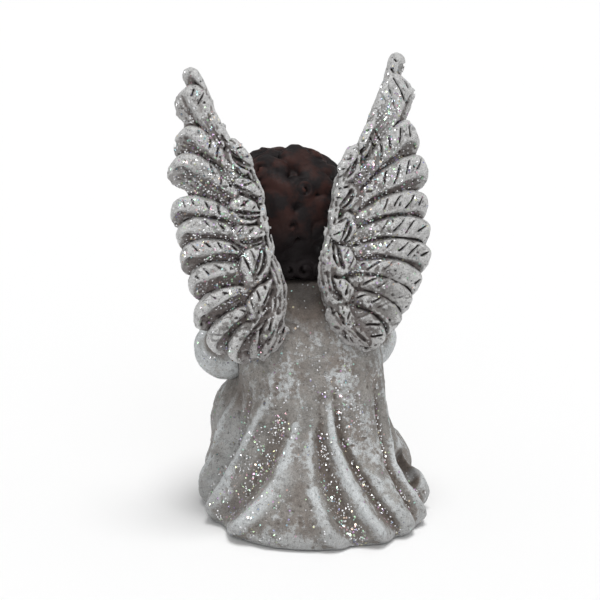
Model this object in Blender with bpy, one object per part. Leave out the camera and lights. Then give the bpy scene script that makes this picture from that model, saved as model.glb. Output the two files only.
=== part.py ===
"""Resin angel figurine: a cherub seated cross-legged in a long robe, with two raised wings.

Every piece is a separate casting: robe body, head, curl cap, wings, sleeves, hands, feet and a
felt pad. Sizes below are in millimetres and become metres when a mesh is made. +Z is up, the
figure looks towards -Y, and its left side is at +X. Z = 0 is the underside of the felt pad.
"""
import math

import bmesh
import bpy
from mathutils import Matrix, Vector

# ---- driving dimensions, mm ----
GAP = 0.3                 # clearance between castings that touch
FELT_THICKNESS = 0.6
FELT_INSET = 2.2          # the pad lies in a recess this far inside the hem
HEM_Z = 0.3               # the hem ends just above the underside of the pad
NECK_Z = 61.5             # top of the robe, where the neck comes out
LEAN = math.radians(2.0)  # the upper body leans to the figure's left

# Robe sections from the hem up: height, half width, back reach (+Y), front reach (-Y), centre x, centre y.
ROBE_SECTIONS = (
    (HEM_Z, 27.2, 27.0, -31.5, -0.5, -4.0),
    (3.0, 28.4, 28.4, -32.5, -0.5, -4.0),
    (7.5, 27.0, 26.2, -31.5, -0.5, -4.0),
    (12.0, 24.2, 22.6, -29.5, -0.4, -4.0),
    (18.0, 21.4, 18.2, -26.0, -0.2, -3.8),
    (26.0, 19.2, 14.6, -19.5, 0.0, -2.8),
    (34.0, 18.4, 13.0, -15.5, 0.3, -1.6),
    (42.0, 18.3, 11.6, -15.0, 0.7, -2.0),
    (50.0, 15.6, 9.6, -15.5, 1.3, -3.6),
    (56.0, 11.8, 7.4, -15.0, 1.9, -4.8),
    (NECK_Z, 7.2, 1.4, -13.2, 2.5, -6.6),
)
ROBE_POWER = 2.3          # 2 would make plain ellipses
ROBE_SIDES = 60
ROBE_RINGS = 17

# Ridges of the robe's folds: azimuth in degrees at the hem and where the fold dies out, and its top.
FOLD_RIDGES = (
    (0, 10, 30), (33, 70, 34), (90, 75, 30), (111, 98, 34), (136, 138, 32), (172, 158, 22),
    (205, 212, 18), (238, 246, 24), (270, 268, 26), (302, 294, 24), (334, 328, 18),
)
FOLD_HEIGHT = 1.3
FOLD_WIDTH = 8.0          # degrees

# Crossed legs under the cloth: centre and radius of each knee and thigh.
LEG_SWELLS = (
    (Vector((17.6, -14.5, 8.4)), 9.4), (Vector((-20.0, -15.0, 8.0)), 9.6),
    (Vector((12.6, -13.5, 21.0)), 10.0), (Vector((-12.8, -13.5, 20.0)), 9.6),
)

SKULL_CENTRE = Vector((4.0, -13.5, 76.5))
SKULL_HALF = Vector((13.2, 13.8, 14.6))
NECK_RADIUS = 5.2
HEAD_NOD = math.radians(12.0)
SPIGOT_RADIUS = 2.8
SPIGOT_DEPTH = 5.0

HAIR_CENTRE = Vector((4.4, -12.4, 78.0))
HAIR_HALF = Vector((16.4, 14.6, 14.4))
CURL_HEIGHT = 0.9

# Wings: u runs outwards from the spine, w upwards along the lean, n backwards.
SPINE_FOOT = Vector((4.6, 9.0, 50.0))
WING_TILT = math.radians(6.0)         # wing tips come forward over the back
FEATHER_ENDS = {
    "left_wing": ((24.8, 114.0), (25.4, 106.5), (26.4, 98.5), (27.6, 91.0), (28.2, 82.2), (27.0, 76.2),
                  (26.6, 70.2), (24.8, 64.0), (23.8, 56.2), (20.8, 50.0), (15.6, 47.2)),
    "right_wing": ((27.2, 115.0), (27.2, 106.0), (29.0, 95.5), (30.2, 87.0), (30.2, 79.0), (30.0, 72.5),
                   (29.2, 66.0), (26.4, 60.2), (23.4, 54.6), (20.4, 49.8), (15.8, 47.2)),
}
FEATHER_ROOTS = ((17.5, 96.0), (13.0, 84.0), (12.0, 72.0), (10.5, 62.0), (7.0, 54.0))
FEATHER_HALF_WIDTH = 3.6
FEATHER_HALF_THICKNESS = 1.25
FEATHER_TWIST = math.radians(14.0)    # each upper edge stands proud of the feather above
COVERTS = ((14.4, 92.5), (13.4, 87.0), (12.2, 80.5), (11.6, 74.0), (10.8, 67.5), (9.6, 61.0), (8.6, 55.0))
LEADING_EDGE = (Vector((5.6, 0, 50.0)), Vector((14.8, 0, 95.5)))
ROOT_PAD_CENTRE = Vector((7.2, -1.2, 56.5))
ROOT_PAD_HALF = Vector((3.8, 3.2, 8.5))
TENON_SIZE = Vector((3.2, 8.0, 6.0))
TENON_MIDDLE = Vector((5.4, -4.0, 57.0))

# Arms, left side: shoulder, elbow and cuff, each with the sleeve's half width and half height there.
ARM_STATIONS = (
    (Vector((12.5, -3.5, 53.5)), 4.6, 4.6),
    (Vector((18.0, -6.0, 48.5)), 5.8, 6.2),
    (Vector((20.8, -11.5, 42.5)), 7.0, 8.2),
    (Vector((17.0, -18.5, 41.5)), 6.2, 7.8),
    (Vector((9.4, -24.0, 45.5)), 5.0, 6.6),
)
ARM_TENON_RADIUS = 2.0
ARM_TENON_LENGTH = 10.0
PALM_Y = -26.4
PALM_Z = 52.0
HAND_TILT = math.radians(-14.0)
FOOT = Vector((7.2, -33.0, 4.2))      # ball of the left foot

WING_TRIANGLES = 1600
HAND_TRIANGLES = 360
TORSO_SPREAD = 2.2                    # the upper body's middle plane lies at this x


X_AXIS = Vector((1, 0, 0))
Y_AXIS = Vector((0, 1, 0))
Z_AXIS = Vector((0, 0, 1))


def clear_scene():
    for item in list(bpy.data.objects):
        bpy.data.objects.remove(item, do_unlink=True)


def material(name, colour, roughness, metallic=0.0):
    made = bpy.data.materials.new(name)
    made.use_nodes = True
    shader = made.node_tree.nodes["Principled BSDF"]
    shader.inputs["Base Color"].default_value = (*colour, 1.0)
    shader.inputs["Roughness"].default_value = roughness
    shader.inputs["Metallic"].default_value = metallic
    return made


def make_object(name, bm, finish=None, sharp_angle=50.0):
    """Turn a millimetre bmesh into a smooth-shaded object in metres."""
    bm.normal_update()
    bmesh.ops.recalc_face_normals(bm, faces=bm.faces)
    bmesh.ops.triangulate(bm, faces=bm.faces)
    bm.transform(Matrix.Scale(0.001, 4))
    mesh = bpy.data.meshes.new(name)
    bm.to_mesh(mesh)
    bm.free()
    mesh.shade_smooth()
    mesh.set_sharp_from_angle(angle=math.radians(sharp_angle))
    made = bpy.data.objects.new(name, mesh)
    bpy.context.collection.objects.link(made)
    if finish:
        mesh.materials.append(finish)
    return made


def hide_guide(guide):
    guide.hide_render = True
    guide.display_type = "WIRE"
    return guide


def boolean(target, tool, operation):
    step = target.modifiers.new(f"{operation.lower()}_{tool.name}", "BOOLEAN")
    step.object = hide_guide(tool)
    step.operation = operation
    return step


def loft(rings):
    """Closed body through rings of equal length, each end capped with one flat face."""
    bm = bmesh.new()
    rows = [[bm.verts.new(point) for point in ring] for ring in rings]
    for lower, upper in zip(rows, rows[1:]):
        for i, vert in enumerate(lower):
            j = (i + 1) % len(lower)
            bm.faces.new((vert, lower[j], upper[j], upper[i]))
    bm.faces.new(list(reversed(rows[0])))
    bm.faces.new(rows[-1])
    return bm


def box(centre, size):
    bm = bmesh.new()
    bmesh.ops.create_cube(bm, size=1.0)
    bmesh.ops.scale(bm, verts=bm.verts, vec=size)
    bmesh.ops.translate(bm, verts=bm.verts, vec=centre)
    return bm


def cylinder(start, end, radius, end_radius=None, sides=20):
    """Cylinder or cone frustum between two points."""
    span = end - start
    bm = bmesh.new()
    bmesh.ops.create_cone(
        bm, cap_ends=True, segments=sides, radius1=radius,
        radius2=radius if end_radius is None else end_radius, depth=span.length,
    )
    turn = span.to_track_quat("Z", "Y").to_matrix().to_4x4()
    bm.transform(Matrix.Translation((start + end) / 2) @ turn)
    return bm


def oval(centre, across, up, half_width, half_height, sides):
    """Ring of points on an ellipse that lies along the two given directions."""
    ring = []
    for i in range(sides):
        angle = 2 * math.pi * i / sides
        ring.append(centre + across * (half_width * math.cos(angle)) + up * (half_height * math.sin(angle)))
    return ring


def joined(pieces):
    """One bmesh that holds all the given ones."""
    whole = bmesh.new()
    for piece in pieces:
        mesh = bpy.data.meshes.new("scratch")
        piece.to_mesh(mesh)
        piece.free()
        whole.from_mesh(mesh)
        bpy.data.meshes.remove(mesh)
    return whole


def fused_object(name, pieces, voxel, faces, finish):
    """Fuse overlapping blobs into one sculpted skin with about the given number of triangles."""
    made = make_object(name, joined(pieces), finish)
    remesh = made.modifiers.new("fuse", "REMESH")
    remesh.mode = "VOXEL"
    remesh.voxel_size = voxel * 0.001
    remesh.use_smooth_shade = True
    evaluated = made.evaluated_get(bpy.context.evaluated_depsgraph_get())
    triangles = sum(len(polygon.vertices) - 2 for polygon in evaluated.data.polygons)
    decimate = made.modifiers.new("simplify", "DECIMATE")
    decimate.ratio = min(1.0, faces / triangles)
    decimate.use_collapse_triangulate = True
    return made


def mirrored(bm, side):
    """Swap a left-hand shape to the right hand about the upper body's middle plane."""
    if side < 0:
        bm.transform(Matrix.Translation((2 * TORSO_SPREAD, 0, 0)) @ Matrix.Scale(-1, 4, (1, 0, 0)))
        bmesh.ops.reverse_faces(bm, faces=bm.faces)
    return bm


# ---- robe body ----

def smooth_step(value):
    value = min(1.0, max(0.0, value))
    return value * value * (3 - 2 * value)


def robe_section(z):
    """Half width, back reach, front reach and centre of the robe at one height."""
    for low, high in zip(ROBE_SECTIONS, ROBE_SECTIONS[1:]):
        if z <= high[0]:
            part = (z - low[0]) / (high[0] - low[0])
            return [a + (b - a) * part for a, b in zip(low[1:], high[1:])]
    return list(ROBE_SECTIONS[-1][1:])


def robe_radius(azimuth, z):
    """Distance from the section's centre to the robe's surface."""
    half_width, back, front, centre_x, centre_y = robe_section(z)
    reach = back - centre_y if math.sin(azimuth) > 0 else centre_y - front
    width_term = abs(math.cos(azimuth) / half_width) ** ROBE_POWER
    depth_term = abs(math.sin(azimuth) / reach) ** ROBE_POWER
    radius = (width_term + depth_term) ** (-1 / ROBE_POWER)
    degrees = math.degrees(azimuth) % 360
    for hem_azimuth, top_azimuth, top in FOLD_RIDGES:
        rise = min(1.0, z / top)
        centre = hem_azimuth + (top_azimuth - hem_azimuth) * rise
        away = (degrees - centre + 180) % 360 - 180
        radius += FOLD_HEIGHT * (1 - smooth_step(rise)) * math.exp(-(away / FOLD_WIDTH) ** 2)
    for ball, ball_radius in LEG_SWELLS:
        along = (ball.x - centre_x) * math.cos(azimuth) + (ball.y - centre_y) * math.sin(azimuth)
        aside = (ball.x - centre_x) * math.sin(azimuth) - (ball.y - centre_y) * math.cos(azimuth)
        left = ball_radius ** 2 - aside ** 2 - (ball.z - z) ** 2
        if left > 0:
            radius = max(radius, along + math.sqrt(left))
    return radius


def robe_ring(section_z, z, grow):
    """The robe's outline at one height, moved outwards by grow and placed at z."""
    _, _, _, centre_x, centre_y = robe_section(section_z)
    ring = []
    for i in range(ROBE_SIDES):
        azimuth = 2 * math.pi * i / ROBE_SIDES
        reach = robe_radius(azimuth, section_z) + grow
        ring.append(Vector((centre_x + reach * math.cos(azimuth), centre_y + reach * math.sin(azimuth), z)))
    return ring


def robe_rings(grow=0.0):
    rings = []
    for row in range(ROBE_RINGS + 1):
        z = HEM_Z + (NECK_Z - HEM_Z) * (row / ROBE_RINGS) ** 1.15
        rings.append(robe_ring(z, z, grow))
    if grow:
        rings[0] = [point - Vector((0, 0, grow)) for point in rings[0]]
        rings[-1] = [point + Vector((0, 0, grow)) for point in rings[-1]]
    return rings


def neck_top():
    _, _, _, centre_x, centre_y = robe_section(NECK_Z)
    return Vector((centre_x, centre_y, NECK_Z))


def make_robe_body(finish):
    body = make_object("robe_body", loft(robe_rings()), finish)
    neck = neck_top()
    socket = cylinder(
        neck - Vector((0, 0, SPIGOT_DEPTH + GAP)), neck + Vector((0, 0, 2.0)), SPIGOT_RADIUS + GAP)
    boolean(body, make_object("neck_socket_cutter", socket), "DIFFERENCE")
    boolean(body, make_object("felt_recess_cutter", felt_blank(GAP)), "DIFFERENCE")
    for side, label in ((1, "left"), (-1, "right")):
        pocket = box(TENON_MIDDLE, TENON_SIZE + Vector((2, 2, 2)) * GAP)
        place_on_spine(pocket, side)
        boolean(body, make_object(f"{label}_wing_socket_cutter", pocket), "DIFFERENCE")
        boolean(body, make_object(f"{label}_arm_socket_cutter", arm_tenon(side, GAP)), "DIFFERENCE")
        boolean(body, make_object(f"{label}_foot_pocket_cutter", foot_blank(side, GAP)), "DIFFERENCE")
    return body


def robe_cutter(name):
    return make_object(name, loft(robe_rings(GAP)))


# ---- felt pad ----

def felt_blank(grow=0.0):
    levels = (-grow, FELT_THICKNESS + grow)
    return loft([robe_ring(HEM_Z, z, grow - FELT_INSET) for z in levels])


# ---- head and hair ----

def bump(direction, towards, spread):
    """A smooth bump on the unit sphere, 1 at the given direction."""
    return math.exp(-((direction - Vector(towards).normalized()).length / spread) ** 2)


def head_radius(direction):
    """Skull and a plain calm child's face, looking along -Y, as a distance from the skull's centre."""
    scaled = Vector([part / half for part, half in zip(direction, SKULL_HALF)])
    radius = 1 / scaled.length
    mirrored_side = Vector((abs(direction.x), direction.y, direction.z))
    radius += 2.2 * bump(direction, (0, -1, -0.12), 0.13)
    radius += 1.3 * bump(mirrored_side, (0.42, -1, -0.38), 0.30)
    radius += 1.2 * bump(direction, (0, -1, -0.78), 0.24)
    radius += 0.9 * bump(direction, (0, -1, -0.42), 0.16)
    radius -= 1.0 * bump(mirrored_side, (0.36, -1, 0.02), 0.20)
    radius -= 1.2 * bump(mirrored_side, (0.6, -0.45, -1.0), 0.40)
    return radius


def head_matrix():
    turn = Matrix.Rotation(LEAN, 4, "Y") @ Matrix.Rotation(HEAD_NOD, 4, "X")
    return Matrix.Translation(SKULL_CENTRE) @ turn


def head_blank(grow=0.0):
    bm = bmesh.new()
    bmesh.ops.create_uvsphere(bm, u_segments=28, v_segments=20, radius=1.0)
    for vert in bm.verts:
        direction = vert.co.normalized()
        vert.co = direction * (head_radius(direction) + grow)
    bm.transform(head_matrix())
    return bm


def neck_blank(grow=0.0):
    """Neck that leans forward from the flat top of the robe into the skull."""
    foot = neck_top() + Vector((0, 0, GAP))
    inside_skull = SKULL_CENTRE + Vector((0, 1.5, -4.0))
    radius = NECK_RADIUS + grow
    return loft([oval(centre, X_AXIS, Y_AXIS, radius, radius, 20) for centre in (foot, inside_skull)])


def make_head(finish):
    head = make_object("head", head_blank(), finish)
    foot = neck_top() + Vector((0, 0, GAP))
    boolean(head, make_object("neck_former", neck_blank()), "UNION")
    spigot = cylinder(foot - Vector((0, 0, SPIGOT_DEPTH)), foot + Vector((0, 0, 2.0)), SPIGOT_RADIUS)
    boolean(head, make_object("spigot_former", spigot), "UNION")
    return head


def make_hair(finish):
    """Curl cap: a lumpy ellipsoid, open where the face and the neck come out."""
    bm = bmesh.new()
    bmesh.ops.create_uvsphere(bm, u_segments=26, v_segments=18, radius=1.0)
    for vert in bm.verts:
        direction = vert.co.normalized()
        curl = math.sin(7 * math.atan2(direction.y, direction.x)) * math.cos(9 * direction.z)
        size = 1 + CURL_HEIGHT / HAIR_HALF.x * (1 + curl)
        vert.co = Vector([size * half * part for half, part in zip(HAIR_HALF, direction)])
    bm.transform(Matrix.Translation(HAIR_CENTRE) @ Matrix.Rotation(LEAN, 4, "Y"))
    hair = make_object("hair", bm, finish)
    boolean(hair, make_object("head_clearance_cutter", head_blank(GAP)), "DIFFERENCE")
    boolean(hair, make_object("neck_clearance_cutter", neck_blank(GAP)), "DIFFERENCE")
    face = SKULL_CENTRE + Vector((0, -17.0, -5.5))
    face_opening = bmesh.new()
    bmesh.ops.create_icosphere(face_opening, subdivisions=2, radius=1.0)
    bmesh.ops.scale(face_opening, verts=face_opening.verts, vec=(12.6, 16.0, 14.0))
    bmesh.ops.translate(face_opening, verts=face_opening.verts, vec=face)
    boolean(hair, make_object("face_opening_cutter", face_opening), "DIFFERENCE")
    below = box(SKULL_CENTRE + Vector((0, -12.0, -22.0)), Vector((60, 34, 22)))
    boolean(hair, make_object("neck_opening_cutter", below), "DIFFERENCE")
    return hair


# ---- wings ----

def place_on_spine(bm, side):
    """Move a shape from wing space (u, n, w - foot height) onto the figure's back."""
    if side < 0:
        bm.transform(Matrix.Scale(-1, 4, (1, 0, 0)))
        bmesh.ops.reverse_faces(bm, faces=bm.faces)
    down = Matrix.Translation((0, 0, -SPINE_FOOT.z))
    turn = Matrix.Rotation(LEAN, 4, "Y") @ Matrix.Rotation(WING_TILT, 4, "X")
    bm.transform(Matrix.Translation(SPINE_FOOT) @ turn @ down)


def feather(root, tip, half_width, arch):
    """Long rounded lozenge along an arched line from root to tip, in the wing's plane."""
    chord = tip - root
    up = Vector((-chord.z, 0, chord.x)).normalized()
    stations = 7
    tip_start = 0.72
    rings = []
    for k in range(stations):
        t = 0.02 + 0.96 * k / (stations - 1)
        middle = root + chord * t + up * (4 * arch * t * (1 - t))
        along = (chord + up * (4 * arch * (1 - 2 * t))).normalized()
        across = Vector((-along.z, 0, along.x))
        towards_tip = max(0.0, (t - tip_start) / (1 - tip_start))
        swell = math.sqrt(1 - towards_tip ** 2) * (0.72 + 0.28 * min(1.0, t * 2))
        twisted_across = across * math.cos(FEATHER_TWIST) + Y_AXIS * math.sin(FEATHER_TWIST)
        twisted_out = Y_AXIS * math.cos(FEATHER_TWIST) - across * math.sin(FEATHER_TWIST)
        thickness = FEATHER_HALF_THICKNESS * (0.4 + 0.6 * swell)
        rings.append(oval(middle, twisted_across, twisted_out, half_width * swell, thickness, 8))
    return loft(rings)


def root_pad():
    """Thick foot of the wing, where it meets the figure's back."""
    bm = bmesh.new()
    bmesh.ops.create_icosphere(bm, subdivisions=2, radius=1.0)
    bmesh.ops.scale(bm, verts=bm.verts, vec=ROOT_PAD_HALF)
    bmesh.ops.translate(bm, verts=bm.verts, vec=ROOT_PAD_CENTRE)
    return bm


def along_points(points, t):
    """Point at the fraction t along a chain of evenly spaced points."""
    place = t * (len(points) - 1)
    index = min(len(points) - 2, int(place))
    low, high = points[index], points[index + 1]
    part = place - index
    return Vector((low[0] + (high[0] - low[0]) * part, 0, low[1] + (high[1] - low[1]) * part))


def make_wing(name, side, finish):
    ends = FEATHER_ENDS[name]
    pieces = []
    for i, (u, w) in enumerate(ends):
        root = along_points(FEATHER_ROOTS, i / (len(ends) - 1))
        direction = (Vector((u, 0, w)) - root).normalized()
        half_width = FEATHER_HALF_WIDTH * (0.68 if i == 0 else 1.0)
        tip = Vector((u, 0, w)) + direction * half_width
        arch = 0.0 if i < 2 else 1.4
        pieces.append(feather(root, tip, half_width, arch))
    for u, w in COVERTS:
        start = Vector((u - 3.5, 0.9, w - 3.5))
        pieces.append(feather(start, start + Vector((8.0, 0, 7.0)), 3.3, 0.4))
    pieces.append(feather(*LEADING_EDGE, 2.4, -0.4))
    pieces.append(root_pad())
    for piece in pieces:
        place_on_spine(piece, side)
    wing = fused_object(name, pieces, 0.75, WING_TRIANGLES, finish)
    boolean(wing, robe_cutter(f"{name}_robe_clearance"), "DIFFERENCE")
    tenon = box(TENON_MIDDLE, TENON_SIZE)
    place_on_spine(tenon, side)
    boolean(wing, make_object(f"{name}_tenon_former", tenon), "UNION")
    return wing


# ---- arms and feet ----

def arm_tenon(side, grow=0.0):
    """Peg at the shoulder that sets the sleeve into the robe body."""
    upper_arm = ARM_STATIONS[1][0]
    inner_end = upper_arm - Vector((ARM_TENON_LENGTH / 2 + grow, 0, 0))
    outer_end = upper_arm + Vector((ARM_TENON_LENGTH / 2, 0, 0))
    return mirrored(cylinder(inner_end, outer_end, ARM_TENON_RADIUS + grow, sides=12), side)


def sleeve_rings():
    rings = []
    count = len(ARM_STATIONS)
    for index, (centre, half_width, half_height) in enumerate(ARM_STATIONS):
        before = ARM_STATIONS[max(0, index - 1)][0]
        after = ARM_STATIONS[min(count - 1, index + 1)][0]
        along = (after - before).normalized()
        across = along.cross(Z_AXIS).normalized()
        rings.append(oval(centre, across, across.cross(along), half_width, half_height, 14))
    return rings


def make_sleeve(label, side, finish):
    sleeve = make_object(f"{label}_sleeve", mirrored(loft(sleeve_rings()), side), finish)
    boolean(sleeve, robe_cutter(f"{label}_sleeve_robe_clearance"), "DIFFERENCE")
    boolean(sleeve, make_object(f"{label}_arm_tenon_former", arm_tenon(side)), "UNION")
    inner = ARM_STATIONS[-2][0]
    cuff = ARM_STATIONS[-1][0]
    mouth = cylinder(inner + (cuff - inner) * 0.35, cuff + (cuff - inner) * 0.3, 3.4, 4.6, sides=14)
    boolean(sleeve, make_object(f"{label}_cuff_cutter", mirrored(mouth, side)), "DIFFERENCE")
    return sleeve


def make_hand(label, side, finish):
    """Flat hand with closed fingers, its palm on the middle plane."""
    thickness = 2.2
    palm_gap = GAP / 2
    fingers = []
    up = Vector((0, -math.sin(HAND_TILT), math.cos(HAND_TILT)))
    ahead = Vector((0, -math.cos(HAND_TILT), -math.sin(HAND_TILT)))
    inner_face = TORSO_SPREAD + palm_gap + thickness / 2
    base = Vector((inner_face, PALM_Y, PALM_Z))
    for i, length in enumerate((6.0, 7.0, 7.2, 6.2)):
        start = base + ahead * (2.4 - 1.6 * i) - up * 1.0
        fingers.append(cylinder(start, start + up * length, 1.05, 0.75, sides=8))
    thumb_root = base + ahead * 1.0 - up * 4.5
    fingers.append(cylinder(thumb_root, base + ahead * 3.6 + up * 2.6, 1.3, 0.85, sides=8))
    fingers.append(box(base - up * 2.0, Vector((thickness, 6.4, 5.5))))
    wrist_start = ARM_STATIONS[-2][0].lerp(ARM_STATIONS[-1][0], 0.55)
    fingers.append(cylinder(wrist_start, base - up * 3.0, 2.5, 2.0, sides=10))
    pieces = [mirrored(piece, side) for piece in fingers]
    hand = fused_object(f"{label}_hand", pieces, 0.4, HAND_TRIANGLES, finish)
    other_side = Vector((TORSO_SPREAD - (10 - palm_gap) * side, PALM_Y, PALM_Z))
    blocker = box(other_side, Vector((20, 40, 40)))
    boolean(hand, make_object(f"{label}_palm_plane_cutter", blocker), "DIFFERENCE")
    return hand


def foot_blank(side, grow=0.0):
    """Sole, heel and instep of a small foot that points out from under the hem."""
    heel = FOOT + Vector((-1.6, 9.0, 0.4))
    rings = []
    outline = (
        (heel, 2.6, 2.4), (FOOT + Vector((-0.8, 4.5, 0.2)), 3.1, 2.8), (FOOT, 3.6, 2.3),
        (FOOT + Vector((0.6, -2.6, -0.3)), 3.5, 1.7), (FOOT + Vector((0.8, -4.2, -0.5)), 2.7, 1.1),
    )
    for centre, half_width, half_height in outline:
        rings.append(oval(centre, X_AXIS, Z_AXIS, half_width + grow, half_height + grow, 12))
    rings[0] = [point + Y_AXIS * grow for point in rings[0]]
    bm = loft(rings)
    if side < 0:
        bm.transform(Matrix.Scale(-1, 4, (1, 0, 0)))
        bmesh.ops.reverse_faces(bm, faces=bm.faces)
    return bm


def main():
    clear_scene()
    resin = material("whitewashed_resin", (0.52, 0.50, 0.47), 0.75)
    feather_resin = material("glittered_resin", (0.58, 0.57, 0.55), 0.6)
    skin = material("painted_skin", (0.80, 0.62, 0.52), 0.6)
    curls = material("painted_hair", (0.10, 0.055, 0.045), 0.7)
    felt = material("felt", (0.06, 0.06, 0.06), 1.0)
    make_robe_body(resin)
    make_object("felt_pad", felt_blank(), felt)
    make_head(skin)
    make_hair(curls)
    for label, side in (("left", 1), ("right", -1)):
        make_wing(f"{label}_wing", side, feather_resin)
        make_sleeve(label, side, resin)
        make_hand(label, side, skin)
        make_object(f"{label}_foot", foot_blank(side), skin)


main()
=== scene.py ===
import math

import bpy
import numpy as np
from mathutils import Matrix, Vector


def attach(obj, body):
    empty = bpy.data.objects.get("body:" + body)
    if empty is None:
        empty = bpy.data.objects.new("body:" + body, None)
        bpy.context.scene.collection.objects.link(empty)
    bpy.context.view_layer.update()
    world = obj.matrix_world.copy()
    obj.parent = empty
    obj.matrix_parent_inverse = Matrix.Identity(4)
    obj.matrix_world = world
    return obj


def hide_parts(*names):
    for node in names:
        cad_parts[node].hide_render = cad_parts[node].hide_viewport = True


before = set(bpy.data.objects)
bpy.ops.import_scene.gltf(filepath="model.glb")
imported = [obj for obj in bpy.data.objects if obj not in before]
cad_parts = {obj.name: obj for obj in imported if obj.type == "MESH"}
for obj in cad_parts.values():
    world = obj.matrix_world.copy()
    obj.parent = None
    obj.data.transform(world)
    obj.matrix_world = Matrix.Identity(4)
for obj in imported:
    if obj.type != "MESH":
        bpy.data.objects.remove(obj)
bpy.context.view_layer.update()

# Everything is sculpted in millimetres, as blocks of signed distances (below zero is inside the
# resin), then skinned into a mesh in metres. +Z is up, the figure looks towards -Y.
MM = 0.001
COARSE = 1.0
SEAM = 0.06                           # hairline between castings that touch
FAR = 1.0e3
LOW_END = (-FAR,) * 3
HIGH_END = (FAR,) * 3
# how fine each casting is carved
WING_CELL = 0.23
ROBE_CELL = 0.33
HEAD_CELL = 0.24
HAIR_CELL = 0.26
SLEEVE_CELL = 0.30
LIMB_CELL = 0.20
FELT_CELL = 0.24
RANDOM = np.random.default_rng(20)


# ------------------------------------------------------------------ sculpting tools

def smooth_step(value, low=0.0, high=1.0):
    part = np.clip((value - low) / (high - low), 0.0, 1.0)
    return part * part * (3 - 2 * part)


def bell(value, width):
    return np.exp(-np.square(value / width))


def unit(direction):
    return direction / np.linalg.norm(direction)


def soft_min(a, b, blend):
    """Union of two distances, with a fillet about as wide as blend."""
    if blend <= 0:
        return np.minimum(a, b)
    part = np.clip(0.5 + 0.5 * (b - a) / blend, 0.0, 1.0)
    return b + (a - b) * part - blend * part * (1 - part)


def soft_max(a, b, blend):
    return -soft_min(-a, -b, blend)


def ball(x, y, z, centre, radius):
    return np.sqrt((x - centre[0]) ** 2 + (y - centre[1]) ** 2 + (z - centre[2]) ** 2) - radius


def egg(x, y, z, centre, radii):
    """Ellipsoid along the axes; the distance is a good estimate near the surface."""
    px, py, pz = ((p - c) / r for p, c, r in zip((x, y, z), centre, radii))
    near = np.sqrt(px * px + py * py + pz * pz)
    steep = np.sqrt((px / radii[0]) ** 2 + (py / radii[1]) ** 2 + (pz / radii[2]) ** 2)
    return near * (near - 1) / np.maximum(steep, 1e-6)


def rod(x, y, z, start, end, radius, end_radius):
    """Tapered rod with round ends."""
    span = np.subtract(end, start)
    along = (x - start[0]) * span[0] + (y - start[1]) * span[1] + (z - start[2]) * span[2]
    t = np.clip(along / span.dot(span), 0.0, 1.0)
    gap = np.sqrt(
        (x - start[0] - span[0] * t) ** 2 + (y - start[1] - span[1] * t) ** 2
        + (z - start[2] - span[2] * t) ** 2)
    return gap - (radius + (end_radius - radius) * t)


class Clay:
    """A block of distances on a regular grid, from its low to its high corner."""

    def __init__(self, low, high, cell):
        self.cell = cell * COARSE
        self.low = np.array(low, np.float32)
        counts = np.ceil((np.array(high) - low) / self.cell).astype(int) + 1
        self.axes = [
            (first + self.cell * np.arange(count)).astype(np.float32)
            for first, count in zip(low, counts)]
        self.field = np.full(counts, FAR, np.float32)

    def window(self, low, high):
        """Slices and open coordinates of the part of the block between two corners."""
        spans = []
        coords = []
        for i, axis in enumerate(self.axes):
            start = max(0, int(np.floor((low[i] - self.low[i]) / self.cell)))
            stop = min(len(axis), int(np.ceil((high[i] - self.low[i]) / self.cell)) + 1)
            spans.append(slice(start, max(start, stop)))
            shape = [1, 1, 1]
            shape[i] = -1
            coords.append(axis[spans[i]].reshape(shape))
        return tuple(spans), coords

    def coords(self):
        """Open coordinates of the whole block."""
        return self.window(LOW_END, HIGH_END)[1]

    def change(self, joined, low, high, blend):
        """Put joined(old distances, coordinates) in place of the distances between two corners."""
        room = blend + 2 * self.cell
        spans, coords = self.window(np.array(low) - room, np.array(high) + room)
        part = self.field[spans]
        if part.size:
            self.field[spans] = joined(part, coords)

    def add(self, shape, low=LOW_END, high=HIGH_END, blend=0.0):
        self.change(lambda part, coords: soft_min(part, shape(*coords), blend), low, high, blend)

    def cut(self, shape, low=LOW_END, high=HIGH_END, blend=0.0):
        self.change(lambda part, coords: soft_max(part, -shape(*coords), blend), low, high, blend)

    def add_ball(self, centre, radius, blend=0.0):
        centre = np.array(centre)
        self.add(lambda x, y, z: ball(x, y, z, centre, radius), centre - radius, centre + radius, blend)

    def add_egg(self, centre, radii, blend=0.0):
        centre = np.array(centre)
        self.add(lambda x, y, z: egg(x, y, z, centre, radii), centre - radii, centre + radii, blend)

    def add_rod(self, start, end, radius, end_radius=None, blend=0.0):
        end_radius = radius if end_radius is None else end_radius
        wide = max(radius, end_radius)
        self.add(
            lambda x, y, z: rod(x, y, z, start, end, radius, end_radius),
            np.minimum(start, end) - wide, np.maximum(start, end) + wide, blend)

    def noise(self, spacing):
        """Smooth noise from -1 to 1 all over the block, with lumps about as wide as spacing."""
        lattice = RANDOM.uniform(-1, 1, [int(n * self.cell / spacing) + 3 for n in self.field.shape])
        lattice = lattice.astype(np.float32)
        for i, count in enumerate(self.field.shape):
            place = np.arange(count) * self.cell / spacing
            below = place.astype(int)
            part = (place - below).astype(np.float32)
            part = part * part * (3 - 2 * part)
            shape = [1, 1, 1]
            shape[i] = -1
            part = part.reshape(shape)
            lattice = np.take(lattice, below, i) * (1 - part) + np.take(lattice, below + 1, i) * part
        return lattice

    def roughen(self, spacing, height):
        """Raise and lower the surface by smooth noise."""
        self.field += height * self.noise(spacing)

    def pit(self, spacing, depth, low):
        """Sink scattered pits where smooth noise rises above low."""
        self.field += depth * smooth_step(self.noise(spacing), low, low + 0.25)


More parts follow.
